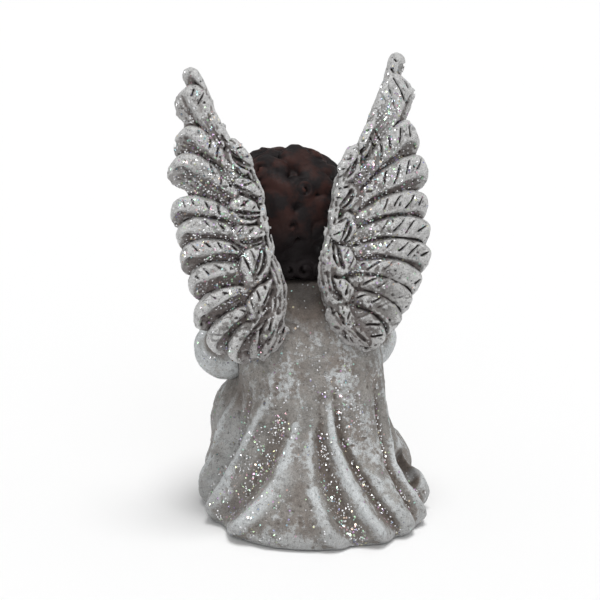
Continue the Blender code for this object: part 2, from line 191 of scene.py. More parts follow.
def box_blur(grid, reach):
    """Mean over a cube of cells, run twice for a rounder kernel."""
    width = 2 * reach + 1
    for _ in range(2):
        for axis in range(3):
            pads = [(0, 0)] * 3
            pads[axis] = (reach + 1, reach)
            total = np.cumsum(np.pad(grid, pads, mode="edge"), axis=axis, dtype=np.float64)
            count = total.shape[axis]
            upper = np.take(total, np.arange(width, count), axis)
            lower = np.take(total, np.arange(0, count - width), axis)
            grid = ((upper - lower) / width).astype(np.float32)
    return grid


def sample(grid, places):
    """Read a grid between its points; places are in cells."""
    top = np.array(grid.shape) - 2
    low = np.clip(np.floor(places).astype(int), 0, top)
    part = np.clip(places - low, 0.0, 1.0)
    total = np.zeros(len(places))
    for corner in np.ndindex(2, 2, 2):
        weight = np.prod(np.where(corner, part, 1 - part), axis=1)
        total += weight * grid[tuple((low + corner).T)]
    return total


def skin(clay):
    """Closed quads where the distances cross zero: one point for each cell that the surface enters."""
    field = clay.field
    inside = field < 0
    cut_to = [n - 1 for n in field.shape]
    count = np.zeros(cut_to, np.uint8)
    for i, j, k in np.ndindex(2, 2, 2):
        count += inside[i:cut_to[0] + i, j:cut_to[1] + j, k:cut_to[2] + k]
    mixed = (count > 0) & (count < 8)
    cells = np.argwhere(mixed)
    number = np.full(mixed.shape, -1, np.int32)
    number[mixed] = np.arange(len(cells))
    values = {c: field[tuple((cells + c).T)].astype(np.float64) for c in np.ndindex(2, 2, 2)}
    total = np.zeros((len(cells), 3))
    hits = np.zeros(len(cells))
    for axis in range(3):
        for c in np.ndindex(2, 2, 2):
            if c[axis]:
                continue
            far = tuple(1 if i == axis else c[i] for i in range(3))
            a, b = values[c], values[far]
            crossed = (a < 0) != (b < 0)
            t = np.where(crossed, a / np.where(crossed, a - b, 1.0), 0.0)
            point = np.array(c, float) + np.outer(t, np.eye(3)[axis])
            total += point * crossed[:, None]
            hits += crossed
    place = total / hits[:, None]
    # One step along the slope brings each point onto the surface itself.
    worth = np.zeros(len(cells))
    slope = np.zeros((len(cells), 3))
    for c, value in values.items():
        sides = [place[:, i] if c[i] else 1 - place[:, i] for i in range(3)]
        worth += value * sides[0] * sides[1] * sides[2]
        for i in range(3):
            others = [sides[j] for j in range(3) if j != i]
            slope[:, i] += value * (1 if c[i] else -1) * others[0] * others[1]
    step = worth / np.maximum(np.square(slope).sum(1), 1e-9)
    place = np.clip(place - step[:, None] * slope, 0.0, 1.0)
    quads = []
    for axis in range(3):
        b, c = (axis + 1) % 3, (axis + 2) % 3
        near = [slice(1, n - 1) for n in field.shape]
        near[axis] = slice(0, field.shape[axis] - 1)
        far = list(near)
        far[axis] = slice(1, field.shape[axis])
        leaving = inside[tuple(near)] & ~inside[tuple(far)]
        entering = ~inside[tuple(near)] & inside[tuple(far)]
        for edges, backwards in ((leaving, False), (entering, True)):
            at = np.argwhere(edges) + [s.start for s in near]
            ring = []
            for db, dc in ((-1, -1), (0, -1), (0, 0), (-1, 0)):
                cell = at.copy()
                cell[:, b] += db
                cell[:, c] += dc
                ring.append(number[tuple(cell.T)])
            quad = np.stack(ring[::-1] if backwards else ring, 1)
            quads.append(quad)
    return cells + place, np.concatenate(quads)


def without_crumbs(places, faces):
    """Keep only the largest connected part of a skin: no loose crumbs, no closed bubbles inside."""
    label = np.arange(len(places))
    while True:
        lowest = label.copy()
        np.minimum.at(lowest, faces.ravel(), np.repeat(label[faces].min(1), 4))
        lowest = lowest[lowest]
        if np.array_equal(lowest, label):
            break
        label = lowest
    kept = label == np.bincount(label).argmax()
    number = np.cumsum(kept) - 1
    return places[kept], number[faces[kept[faces[:, 0]]]]


def make_mesh(name, points, faces, attributes=None):
    """Smooth-shaded mesh object from arrays; points in metres."""
    mesh = bpy.data.meshes.new(name)
    sides = faces.shape[1]
    mesh.vertices.add(len(points))
    mesh.vertices.foreach_set("co", points.astype(np.float32).ravel())
    mesh.loops.add(faces.size)
    mesh.loops.foreach_set("vertex_index", faces.astype(np.int32).ravel())
    mesh.polygons.add(len(faces))
    mesh.polygons.foreach_set("loop_start", np.arange(0, faces.size, sides, dtype=np.int32))
    mesh.polygons.foreach_set("loop_total", np.full(len(faces), sides, np.int32))
    mesh.update(calc_edges=True)
    mesh.validate()
    mesh.shade_smooth()
    for label, values in (attributes or {}).items():
        layer = mesh.attributes.new(label, "FLOAT", "POINT")
        layer.data.foreach_set("value", values.astype(np.float32))
    made = bpy.data.objects.new(name, mesh)
    bpy.context.scene.collection.objects.link(made)
    return made


def cast(name, node, clay, finish, to_world=None, paint=None):
    """Skin a block of clay and put it in the place of a CAD node.

    Each vertex keeps how hollow the surface is round it, at a fine and a wide scale: above zero in
    grooves, below zero on ridges. Washes and dry-brushing follow these."""
    places, faces = without_crumbs(*skin(clay))
    filled = np.clip(0.5 - clay.field / clay.cell, 0.0, 1.0)
    attributes = {}
    for label, reach in (("groove_fine", 0.45), ("groove_wide", 2.0)):
        blurred = box_blur(filled, max(1, round(reach / clay.cell)))
        attributes[label] = sample(blurred, places) - 0.5
    points = places * clay.cell + clay.low
    if paint:
        attributes.update(paint(points))
    if to_world:
        points, mirrored = to_world(points)
        if mirrored:
            faces = faces[:, ::-1]
    made = make_mesh(name, points * MM, faces, attributes)
    made.data.materials.append(finish)
    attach(made, "root")
    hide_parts(node)
    return made


# ------------------------------------------------------------------ materials

# how a Mix node numbers its two value inputs and its output, for each type of value
MIX_SOCKETS = {"FLOAT": (2, 3, 0), "VECTOR": (4, 5, 1), "RGBA": (6, 7, 2)}
FLAKE_CELL = 0.6               # glitter: one flake at most in each cell of this size
FLAKE_RADII = (0.29, 0.46)     # as parts of the cell
FLAKE_TILT = 1.6
FLAKE_LIFT = (0.0, 0.0, 0.55)  # flakes lean upwards, to the light


class Painter:
    """Short hand for building node trees."""

    def __init__(self, name):
        self.material = bpy.data.materials.new(name)
        self.material.use_nodes = True
        self.nodes = self.material.node_tree.nodes
        self.links = self.material.node_tree.links
        self.shader = self.nodes["Principled BSDF"]
        place = self.nodes.new("ShaderNodeTexCoord")
        self.place = place.outputs["Object"]

    def put(self, socket, value):
        if isinstance(value, bpy.types.NodeSocket):
            self.links.new(value, socket)
        elif isinstance(value, tuple) and len(value) == 3 and socket.type == "RGBA":
            socket.default_value = (*value, 1.0)
        else:
            socket.default_value = value

    def math(self, operation, a, b=0.0, c=0.0, clamp=False):
        node = self.nodes.new("ShaderNodeMath")
        node.operation = operation
        node.use_clamp = clamp
        for socket, value in zip(node.inputs, (a, b, c)):
            self.put(socket, value)
        return node.outputs[0]

    def vector_math(self, operation, a, b=(0.0, 0.0, 0.0)):
        node = self.nodes.new("ShaderNodeVectorMath")
        node.operation = operation
        self.put(node.inputs[0], a)
        self.put(node.inputs[1], b)
        return node.outputs[0]

    def mix(self, part, a, b, blend="MIX", kind="RGBA"):
        first, second, result = MIX_SOCKETS[kind]
        node = self.nodes.new("ShaderNodeMix")
        node.data_type = kind
        node.blend_type = blend
        node.clamp_factor = True
        self.put(node.inputs[0], part)
        self.put(node.inputs[first], a)
        self.put(node.inputs[second], b)
        return node.outputs[result]

    def noise(self, size_mm, detail, roughness):
        node = self.nodes.new("ShaderNodeTexNoise")
        node.inputs["Scale"].default_value = 1 / (size_mm * MM)
        node.inputs["Detail"].default_value = detail
        node.inputs["Roughness"].default_value = roughness
        self.put(node.inputs["Vector"], self.place)
        return node.outputs["Fac"]

    def map_range(self, value, ends, smooth=False):
        """Map the value from ends[0], ends[1] to ends[2], ends[3]."""
        node = self.nodes.new("ShaderNodeMapRange")
        if smooth:
            node.interpolation_type = "SMOOTHSTEP"
        self.put(node.inputs["Value"], value)
        for key, number in zip(("From Min", "From Max", "To Min", "To Max"), ends):
            node.inputs[key].default_value = number
        return node.outputs["Result"]

    def ramp(self, value, low, high):
        """0 below low, 1 above high, smooth between."""
        return self.map_range(value, (low, high, 0.0, 1.0), smooth=True)

    def bump(self, height, strength, distance_mm):
        """Shading normal of the fine relief that height gives."""
        node = self.nodes.new("ShaderNodeBump")
        node.inputs["Strength"].default_value = strength
        node.inputs["Distance"].default_value = distance_mm * MM
        self.put(node.inputs["Height"], height)
        return node.outputs["Normal"]

    def attribute(self, name):
        node = self.nodes.new("ShaderNodeAttribute")
        node.attribute_name = name
        return node.outputs["Fac"]

    def flakes(self, share):
        """Glitter: a mask of round flakes, the random numbers of each, and its tilted normal.

        share is the part of the cells that hold a flake."""
        cells = self.nodes.new("ShaderNodeTexVoronoi")
        cells.inputs["Scale"].default_value = 1 / (FLAKE_CELL * MM)
        self.put(cells.inputs["Vector"], self.place)
        chance = self.nodes.new("ShaderNodeSeparateColor")
        self.put(chance.inputs["Color"], cells.outputs["Color"])
        chosen = self.math("LESS_THAN", chance.outputs["Red"], share)
        smallest, largest = FLAKE_RADII
        size = self.math("MULTIPLY_ADD", chance.outputs["Blue"], largest - smallest, smallest)
        round_part = self.math("LESS_THAN", cells.outputs["Distance"], size)
        surface = self.nodes.new("ShaderNodeNewGeometry").outputs["Normal"]
        tilt = self.vector_math("SUBTRACT", cells.outputs["Color"], (0.5, 0.5, 0.5))
        tilt = self.vector_math("MULTIPLY", tilt, (FLAKE_TILT,) * 3)
        tilt = self.vector_math("ADD", tilt, FLAKE_LIFT)
        normal = self.vector_math("NORMALIZE", self.vector_math("ADD", surface, tilt))
        return self.math("MULTIPLY", chosen, round_part), chance.outputs, normal


def washed_resin(name, grey, white, wash, white_share, wash_share, glitter, cloudy, coarse):
    """Cast resin: grey base, brown wash in the recesses, white dry-brush on the ridges, glitter; attributes
    of each casting add painted shade to the wash and painted light to the white.
    """
    p = Painter(name)
    fine = p.attribute("groove_fine")
    wide = p.attribute("groove_wide")
    grain = p.noise(0.42, 3.0, 0.7)
    speckle = p.noise(1.3, 6.0, 0.8)
    blotch = p.noise(3.2, 4.0, 0.65)
    patch = p.noise(5.5, 6.0, 0.75)
    cloud = p.noise(12.0, 3.0, 0.5)

    hollow = p.math("MULTIPLY_ADD", fine, 2.4, p.math("MULTIPLY", wide, 3.0))
    hollow = p.math("MULTIPLY_ADD", p.math("SUBTRACT", blotch, 0.5), 0.9, hollow)
    hollow = p.math("MULTIPLY_ADD", p.math("SUBTRACT", speckle, 0.5), 0.7, hollow)
    washed = p.ramp(hollow, wash_share - 0.25, wash_share + 0.30)
    proud = p.math("MULTIPLY_ADD", fine, -2.6, p.math("MULTIPLY", wide, -2.4))
    proud = p.math("MULTIPLY_ADD", p.math("SUBTRACT", cloud, 0.5), cloudy, proud)
    proud = p.math("MULTIPLY_ADD", p.math("SUBTRACT", patch, 0.5), cloudy, proud)
    proud = p.math("MULTIPLY_ADD", p.math("SUBTRACT", speckle, 0.5), 1.5, proud)
    brushed = p.ramp(proud, white_share - 0.06, white_share + 0.28)

    colour = p.mix(p.ramp(blotch, 0.35, 0.68), grey, tuple(0.66 * c for c in grey))
    warm = p.math("MULTIPLY", p.ramp(cloud, 0.42, 0.66), 0.65)
    colour = p.mix(warm, colour, tuple(1.5 * c for c in wash))
    # wash attribute: brown wash in valleys and vanes, plus painted shade between parts and in hollows
    stain = p.attribute("stain")
    colour = p.mix(p.math("MAXIMUM", washed, stain, clamp=True), colour, wash)
    brushed = p.math("MULTIPLY", brushed, p.math("MULTIPLY_ADD", stain, -0.9, 0.92, clamp=True))
    # white attribute: dry-brush on the ridges, plus painted light on the robe's lit left side
    chalk = p.math("MULTIPLY", p.attribute("chalk"), p.ramp(p.math("ADD", speckle, patch), 0.72, 1.05))
    brushed = p.math("MAXIMUM", brushed, p.math("MULTIPLY", chalk, 0.9))
    colour = p.mix(brushed, colour, white)
    # darkest wash in the finest grooves, and the darkest painted shade where the wash attribute runs above
    # one
    deep = p.math("MAXIMUM", p.ramp(fine, 0.09, 0.22), p.ramp(stain, 1.0, 1.9))
    colour = p.mix(deep, colour, tuple(0.32 * c for c in wash))
    flecks = p.ramp(p.math("MULTIPLY_ADD", grain, 0.6, p.math("MULTIPLY", speckle, 0.55)), 0.635, 0.67)
    colour = p.mix(p.math("MULTIPLY", flecks, 0.8 * coarse), colour, tuple(0.5 * c for c in wash))
    colour = p.mix(0.85 * coarse, colour, p.map_range(grain, (0.25, 0.75, 0.38, 1.6)), "MULTIPLY")

    share = p.math("MULTIPLY", p.attribute("glitter"), glitter)
    share = p.math("MULTIPLY", share, p.math("MULTIPLY_ADD", p.ramp(blotch, 0.44, 0.62), 0.85, 0.15))
    mask, chance, flake_normal = p.flakes(share)
    hue = p.nodes.new("ShaderNodeHueSaturation")
    p.put(hue.inputs["Color"], (0.95, 0.30, 0.30))
    p.put(hue.inputs["Hue"], chance["Green"])
    tinted = p.math("GREATER_THAN", chance["Blue"], 0.75)
    flake_colour = p.mix(p.math("MULTIPLY", tinted, 0.55), (0.97, 0.98, 1.0), hue.outputs["Color"])
    colour = p.mix(mask, colour, flake_colour)

    p.put(p.shader.inputs["Base Color"], colour)
    p.put(p.shader.inputs["Metallic"], p.math("MULTIPLY", mask, 0.6))
    rough = p.mix(p.ramp(speckle, 0.3, 0.7), 0.55, 0.80, kind="FLOAT")
    p.put(p.shader.inputs["Roughness"], p.mix(mask, rough, 0.27, kind="FLOAT"))
    relief = p.math("MULTIPLY_ADD", grain, 0.35, speckle)
    relief = p.math("MULTIPLY_ADD", flecks, -0.5, relief)
    normal = p.mix(mask, p.bump(relief, 1.0, 0.22), flake_normal, kind="VECTOR")
    p.put(p.shader.inputs["Normal"], normal)
    return p.material


def painted_skin():
    p = Painter("painted_skin")
    mottle = p.noise(2.5, 3.0, 0.6)
    fine = p.noise(0.4, 2.0, 0.7)
    colour = p.mix(p.ramp(mottle, 0.35, 0.7), (0.72, 0.50, 0.39), (0.66, 0.43, 0.33))
    colour = p.mix(p.math("MULTIPLY", p.attribute("blush"), 0.45), colour, (0.62, 0.24, 0.19))
    hollow = p.math("MULTIPLY_ADD", p.attribute("groove_fine"), 3.0, p.attribute("groove_wide"))
    colour = p.mix(p.math("MULTIPLY", p.ramp(hollow, 0.15, 0.75), 0.7), colour, (0.30, 0.15, 0.10))
    colour = p.mix(p.math("MULTIPLY", p.attribute("lip"), 0.75), colour, (0.55, 0.17, 0.15))
    colour = p.mix(p.attribute("dark_paint"), colour, (0.09, 0.05, 0.035))
    p.put(p.shader.inputs["Base Color"], colour)
    p.shader.inputs["Roughness"].default_value = 0.48
    p.put(p.shader.inputs["Normal"], p.bump(fine, 0.25, 0.04))
    return p.material


def painted_hair():
    p = Painter("painted_hair")
    fine = p.attribute("groove_fine")
    wide = p.attribute("groove_wide")
    speckle = p.noise(0.5, 3.0, 0.7)
    blotch = p.noise(6.0, 3.0, 0.6)
    proud = p.math("MULTIPLY_ADD", fine, -2.6, p.math("MULTIPLY", wide, -2.0))
    proud = p.math("ADD", proud, p.math("MULTIPLY_ADD", speckle, 0.6, -0.3))
    proud = p.math("ADD", proud, p.math("MULTIPLY_ADD", blotch, 0.7, -0.35))
    # red-brown paint on the hair fades out downwards: painted light on the top of the head
    lit_red = p.attribute("redness")
    patches = p.math("MULTIPLY", p.ramp(blotch, 0.42, 0.62), lit_red)
    colour = p.mix(patches, (0.009, 0.006, 0.0065), (0.032, 0.0115, 0.0090))
    tops = p.math("MULTIPLY", p.ramp(proud, 0.25, 0.95), lit_red)
    colour = p.mix(tops, colour, (0.050, 0.018, 0.014))
    colour = p.mix(p.ramp(fine, 0.05, 0.24), colour, (0.006, 0.004, 0.004))
    p.put(p.shader.inputs["Base Color"], colour)
    rough = p.mix(p.ramp(speckle, 0.3, 0.7), 0.58, 0.75, kind="FLOAT")
    p.put(p.shader.inputs["Roughness"], rough)
    p.shader.inputs["Specular IOR Level"].default_value = 0.2
    p.put(p.shader.inputs["Normal"], p.bump(speckle, 0.4, 0.08))
    return p.material


def felt_material():
    p = Painter("felt")
    fibre = p.noise(0.35, 5.0, 0.8)
    colour = p.mix(p.ramp(fibre, 0.3, 0.7), (0.035, 0.035, 0.037), (0.075, 0.075, 0.078))
    p.put(p.shader.inputs["Base Color"], colour)
    p.shader.inputs["Roughness"].default_value = 0.95
    p.shader.inputs["Sheen Weight"].default_value = 0.4
    p.put(p.shader.inputs["Normal"], p.bump(fibre, 0.9, 0.12))
    return p.material


# ------------------------------------------------------------------ wings

# A wing is carved flat and then turned and moved: u runs outwards, n backwards and w up, and the
# lines and points below are given as (u, w).
SPINE_FOOT = np.array((4.6, 9.0, 50.0))
LEAN = Matrix.Rotation(math.radians(2.0), 3, "Y")
WING_TURN = np.array(LEAN @ Matrix.Rotation(math.radians(6.0), 3, "X"))
WING_BLOCK = ((-1.0, -6.0, 41.0), (36.5, 7.0, 121.0))
WING_FRONT, WING_BACK = -4.0, 5.5
WING_FOOT_END = (20.0, 6.0, 66.0)        # the robe can reach the wing only below this corner
FEATHER_HALF_WIDTH = 4.5
FEATHER_REACH = 3.6          # tips lie this far beyond the ends below, and the top one's less far
TOP_REACH = 0.7 * FEATHER_REACH
EDGE_HEIGHTS = (45.5, 48.0, 51.0, 54.5, 58.0, 62.0, 66.0, 71.0, 77.5, 86.0, 92.0, 97.5)
EDGE_HALF_WIDTHS = (0.9, 1.4, 1.9, 2.2, 2.3, 2.1, 1.7, 1.4, 1.2, 1.1, 1.1, 0.9)
# where the long feathers come out from under the small ones
JOINT_HEIGHTS = (50.0, 60.0, 95.0, 110.0)
JOINT_LINE = (13.0, 15.5, 20.0, 22.0)
# ends: of the long feathers, from the top down, with the line of their roots; edge: the inner rim's
# inner side at the heights above; patches: dense glitter, with its reach; coverts: middle, direction
# in degrees, half length and half width of each small feather over the roots.
WINGS = {
    "left_wing": dict(
        ends=((24.0, 113.9), (24.5, 108.6), (26.0, 98.6), (27.8, 91.9), (28.2, 81.6), (27.0, 76.2),
              (26.6, 70.2), (24.8, 64.0), (23.8, 56.2), (20.8, 50.0), (15.6, 47.2)),
        roots=((16.5, 93.5), (13.6, 79.5), (12.0, 71.5), (10.5, 62.0), (7.0, 54.0)), top_root=(19.5, 103.0),
        widths=(0.46, 0.96, 1.0), step=0.15, crown=0.30, hook=(0.4, 1.4), stain=0.75,
        edge=(11.3, 9.0, 7.0, 5.4, 4.5, 4.3, 5.4, 7.0, 8.2, 8.4, 10.8, 13.6), edge_top=95.5,
        patches=(((18.8, 88.8), 3.8), ((26.9, 86.4), 2.8), ((15.9, 80.6), 3.0), ((25.3, 75.6), 2.4)),
        coverts=(((17.2, 99.0), 62, 4.6, 1.5), ((14.6, 94.8), 50, 5.4, 2.6), ((15.4, 88.2), 40, 5.2, 2.9),
                 ((14.2, 81.6), 20, 4.6, 3.2), ((13.4, 75.3), 6, 4.6, 3.2), ((12.1, 67.8), -58, 5.2, 3.8),
                 ((10.8, 59.6), -54, 5.4, 3.4))),
    "right_wing": dict(
        ends=((27.1, 114.4), (26.9, 107.9), (28.4, 95.4), (30.3, 86.8), (29.5, 78.0), (29.4, 71.2),
              (29.0, 65.2), (25.9, 59.4), (22.9, 54.8), (19.8, 50.6), (15.2, 46.9)),
        roots=((18.0, 91.5), (13.6, 79.5), (12.0, 71.0), (10.5, 62.0), (7.0, 54.0)), top_root=(23.6, 103.0),
        widths=(0.54, 1.07, 1.02), step=-0.14, crown=0.62, hook=(1.6, 2.8), stain=0.5,
        edge=(14.0, 11.0, 7.8, 5.6, 4.5, 3.9, 4.2, 5.2, 7.0, 9.2, 12.2, 16.0), edge_top=92.5,
        patches=(((22.2, 104.6), 3.6), ((23.5, 89.9), 3.2), ((17.2, 87.9), 3.0), ((13.6, 70.3), 3.2)),
        coverts=(((18.0, 97.4), 62, 5.4, 1.8), ((13.2, 91.0), 56, 4.8, 2.6), ((12.0, 83.6), 58, 3.9, 3.1),
                 ((10.8, 75.6), 74, 4.1, 3.0), ((9.4, 67.6), -68, 4.5, 3.1), ((8.2, 59.8), -56, 4.4, 3.3),
                 ((8.8, 53.4), -62, 4.2, 2.9))),
}
# One long feather: width at the root, height and slopes of the vane, its edge and thickness, where
# the band starts across it, the band's hook, height and foot, then depths and spacing of the cuts.
PRIMARY = dict(
    root_width=0.70, lift=0.0, rise=0.60, dive=0.95, edge=1.3, thickness=0.95, crown=0.30, step=0.0,
    hook=1.7, band=1.3, band_foot=1.0, cut=1.15, cut_spacing=2.35, lines=0.34, comb=0.0, seed=0.0)


def quarter_round(part):
    part = np.clip(part, 0.0, 1.0)
    return np.sqrt(1 - (1 - part) * (1 - part))


def beyond_outline(outline, plate, off_plane):
    """Distance to a plate inside its outline, and to the outline's edge outside it."""
    return np.where(outline < 0, plate, np.hypot(np.maximum(outline, 0.0), off_plane))


def blade(u, n, w, root, tip, half_width, arch, style):
    """One carved feather in wing space, along an arched line from root to tip.

    A raised band with slanting cuts runs along its upper edge and hooks round its tip. Below the
    band lies the vane, a lower plane with long fine lines, which dives under the next feather. The
    front of the wing is carved more simply. Also returns the distance to the vane's outline."""
    chord = np.subtract(tip, root)
    length = np.hypot(*chord)
    cu, cw = chord / length
    s = (u - root[0]) * cu + (w - root[1]) * cw
    t = np.clip(s / length, 0.0, 1.0)
    v = (w - root[1]) * cu - (u - root[0]) * cw - 4 * arch * t * (1 - t)
    wide = half_width * (style["root_width"] + (1 - style["root_width"]) * smooth_step(t, 0.0, 0.6))
    q = v / wide

    crown = style["crown"] * wide          # the tip's foremost point is this far above the middle
    turn = length - half_width
    half = np.where(v > crown, wide - crown, wide + crown)
    across = (v - crown) / half
    beyond = np.maximum(s - turn, 0.0) / half_width
    outline = (np.hypot(across, beyond) - 1) * np.minimum(half, half_width)
    outline = np.maximum(outline, -s)

    plane = style["lift"] + np.where(q > 0, style["rise"], style["dive"]) * q
    body = style["thickness"] * quarter_round(-outline / style["edge"])
    step = (style["step"] + 0.35 * smooth_step(-t, -0.8, 0.0)) * wide
    corner = 1.6
    pocket_v = v - step + corner
    pocket_s = s - (length - style["hook"]) + corner
    outside = np.hypot(np.maximum(pocket_v, 0.0), np.maximum(pocket_s, 0.0))
    pocket = outside + np.minimum(np.maximum(pocket_v, pocket_s), 0.0) - corner
    band = style["band"] * quarter_round(pocket / style["band_foot"]) * quarter_round(-outline / 2.0)
    band = band * (0.3 + 0.7 * smooth_step(s, 3.0, 8.0))

    slant = s * 0.74 - v * 0.67 + 0.25 * np.sin(0.9 * s + style["seed"]) + style["seed"]
    beat = slant / style["cut_spacing"]
    which = np.floor(beat)
    chance = np.abs(np.sin(which * 12.9898 + style["seed"] * 78.2))
    other_chance = np.abs(np.sin(which * 4.1414 + style["seed"] * 31.7))
    off_middle = (beat - which - 0.35 - 0.3 * chance) * style["cut_spacing"]
    cut = smooth_step(chance, 0.1, 0.9) * bell(off_middle, 0.20)
    cut = cut * smooth_step(pocket, 0.3 + 1.3 * other_chance, 0.9 + 1.3 * other_chance)
    cut = style["cut"] * cut * smooth_step(-outline, 0.15 + 0.5 * chance, 0.5 + 0.5 * chance)
    cut = cut * smooth_step(s, 0.5, 2.0)
    wander = 0.4 * np.sin(0.45 * s + 2 * style["seed"])
    lines = bell(np.sin((v + 0.10 * s + wander) * 2.9), 0.42) * smooth_step(-pocket, 0.0, 0.5)
    lines = style["lines"] * lines * (0.6 + 0.4 * np.sin(0.8 * s + 5 * style["seed"]))
    combed = bell(np.sin((v + 0.12 * s + wander) * 3.6 + style["seed"]), 0.45) * smooth_step(s, 2.0, 5.0)
    lines = lines + style["comb"] * combed * smooth_step(-s, -0.8 * length, -0.4 * length)

    top = n - plane - body - band + cut + lines
    front = 0.55 * band - 0.5 * lines - 0.6 * cut
    bottom = plane - body - front - n
    plate = np.maximum(top, bottom)
    return beyond_outline(outline, plate, n - plane), pocket


def leaf(u, n, w, centre, heading, half_length, half_width, lift, seed):
    """Small crumpled feather: a bead bent round a hollow that opens towards the wing's inner edge."""
    cu, cw = math.cos(heading), math.sin(heading)
    along = (u - centre[0]) * cu + (w - centre[1]) * cw
    across = (w - centre[1]) * cu - (u - centre[0]) * cw
    turn = np.arctan2(across / half_width, along / half_length)
    uneven = 1 + 0.13 * np.sin(2 * turn + seed) + 0.08 * np.sin(3 * turn + 2.3 * seed)
    uneven = uneven + 0.04 * np.sin(7 * turn)
    outline = (np.hypot(along / half_length, across / half_width) / uneven - 1) * half_width
    slope = 0.16 * across - 0.10 * along
    body = 1.7 * quarter_round(-outline / 1.5)
    bend = across + (0.30 + 0.12 * math.sin(seed)) * half_width - 0.05 * along * along
    lens = 1 - np.hypot((along + 0.35 * half_length) / (0.85 * half_length), bend / (0.42 * half_width))
    ridges = np.cos(bend * 4.2 + 0.45 * along + seed)
    hollow = smooth_step(lens, -0.05, 0.3) * (1.25 + 0.5 * ridges)
    beat = (along * 0.8 + across * 0.6) / 2.2 + seed
    slit = bell((beat - np.floor(beat) - 0.5) * 2.2, 0.2) * smooth_step(-outline, 0.2, 0.6)
    relief = hollow + 0.8 * slit * smooth_step(across, 0.15 * half_width, 0.45 * half_width)
    top = n - lift - slope - body + relief
    bottom = lift - 1.2 * body - n
    return beyond_outline(outline, np.maximum(top, bottom), n - lift - slope)


def along_points(points, t):
    """Point at the fraction t along a chain of evenly spaced points."""
    steps = np.linspace(0, 1, len(points))
    return np.array([np.interp(t, steps, [p[i] for p in points]) for i in range(2)])


def turned(turn, origin, x, y, z):
    """World coordinates of a place given in a turned and moved space."""
    return [sum(turn[i, j] * (x, y, z)[j] for j in range(3)) + origin[i] for i in range(3)]


def wing_to_world(side):
    def to_world(points):
        moved = points * (side, 1, 1) - (0, 0, SPINE_FOOT[2])
        return moved @ WING_TURN.T + SPINE_FOOT, side < 0
    return to_world


def lay_long_feathers(clay, shape):
    """Lay the long feathers from the top down; returns the values that blade() takes for each."""
    feathers = []
    last = len(shape["ends"]) - 1
    for i, end in enumerate(shape["ends"]):
        root = along_points(shape["roots"], i / last) if i else np.array(shape["top_root"])
        half_width = FEATHER_HALF_WIDTH * shape["widths"][min(i, 2)] * (1 + 0.05 * RANDOM.uniform(-1, 1))
        arch = (0.2, 0.0, 1.1, 1.5)[min(i, 3)] + 0.25 * RANDOM.uniform(-1, 1)
        style = dict(
            PRIMARY, seed=RANDOM.uniform(0, 6), lift=(-0.9, -0.3, 0.1)[min(i, 2)],
            crown=shape["crown"] if i else 0.2,
            step=shape["step"] - (0.35 if i == 1 else 0.0) + RANDOM.uniform(-0.06, 0.06),
            hook=RANDOM.uniform(*shape["hook"]), comb=0.4 if i == 1 else 0.0)
        tip = end + unit(end - root) * (FEATHER_REACH if i else TOP_REACH)
        feather = (root, tip, half_width, arch, style)
        low = np.minimum(root, tip) - half_width - abs(arch)
        high = np.maximum(root, tip) + half_width + abs(arch)
        clay.add(
            lambda u, n, w: blade(u, n, w, *feather)[0], (low[0], WING_FRONT, low[1]),
            (high[0], WING_BACK, high[1]), 0.12)
        feathers.append(feather)
    return feathers


def lay_leaf(clay, centre, heading, half_length, half_width, lift):
    """Lay one small feather; heading in degrees."""
    seed = RANDOM.uniform(0, 6)
    heading = math.radians(heading)
    centre = np.array(centre)
    reach = max(half_length, 1.25 * half_width)
    low = centre - reach
    high = centre + reach
    clay.add(
        lambda u, n, w: leaf(u, n, w, centre, heading, half_length, half_width, lift, seed),
        (low[0], WING_FRONT, low[1]), (high[0], WING_BACK, high[1]), 0.1)


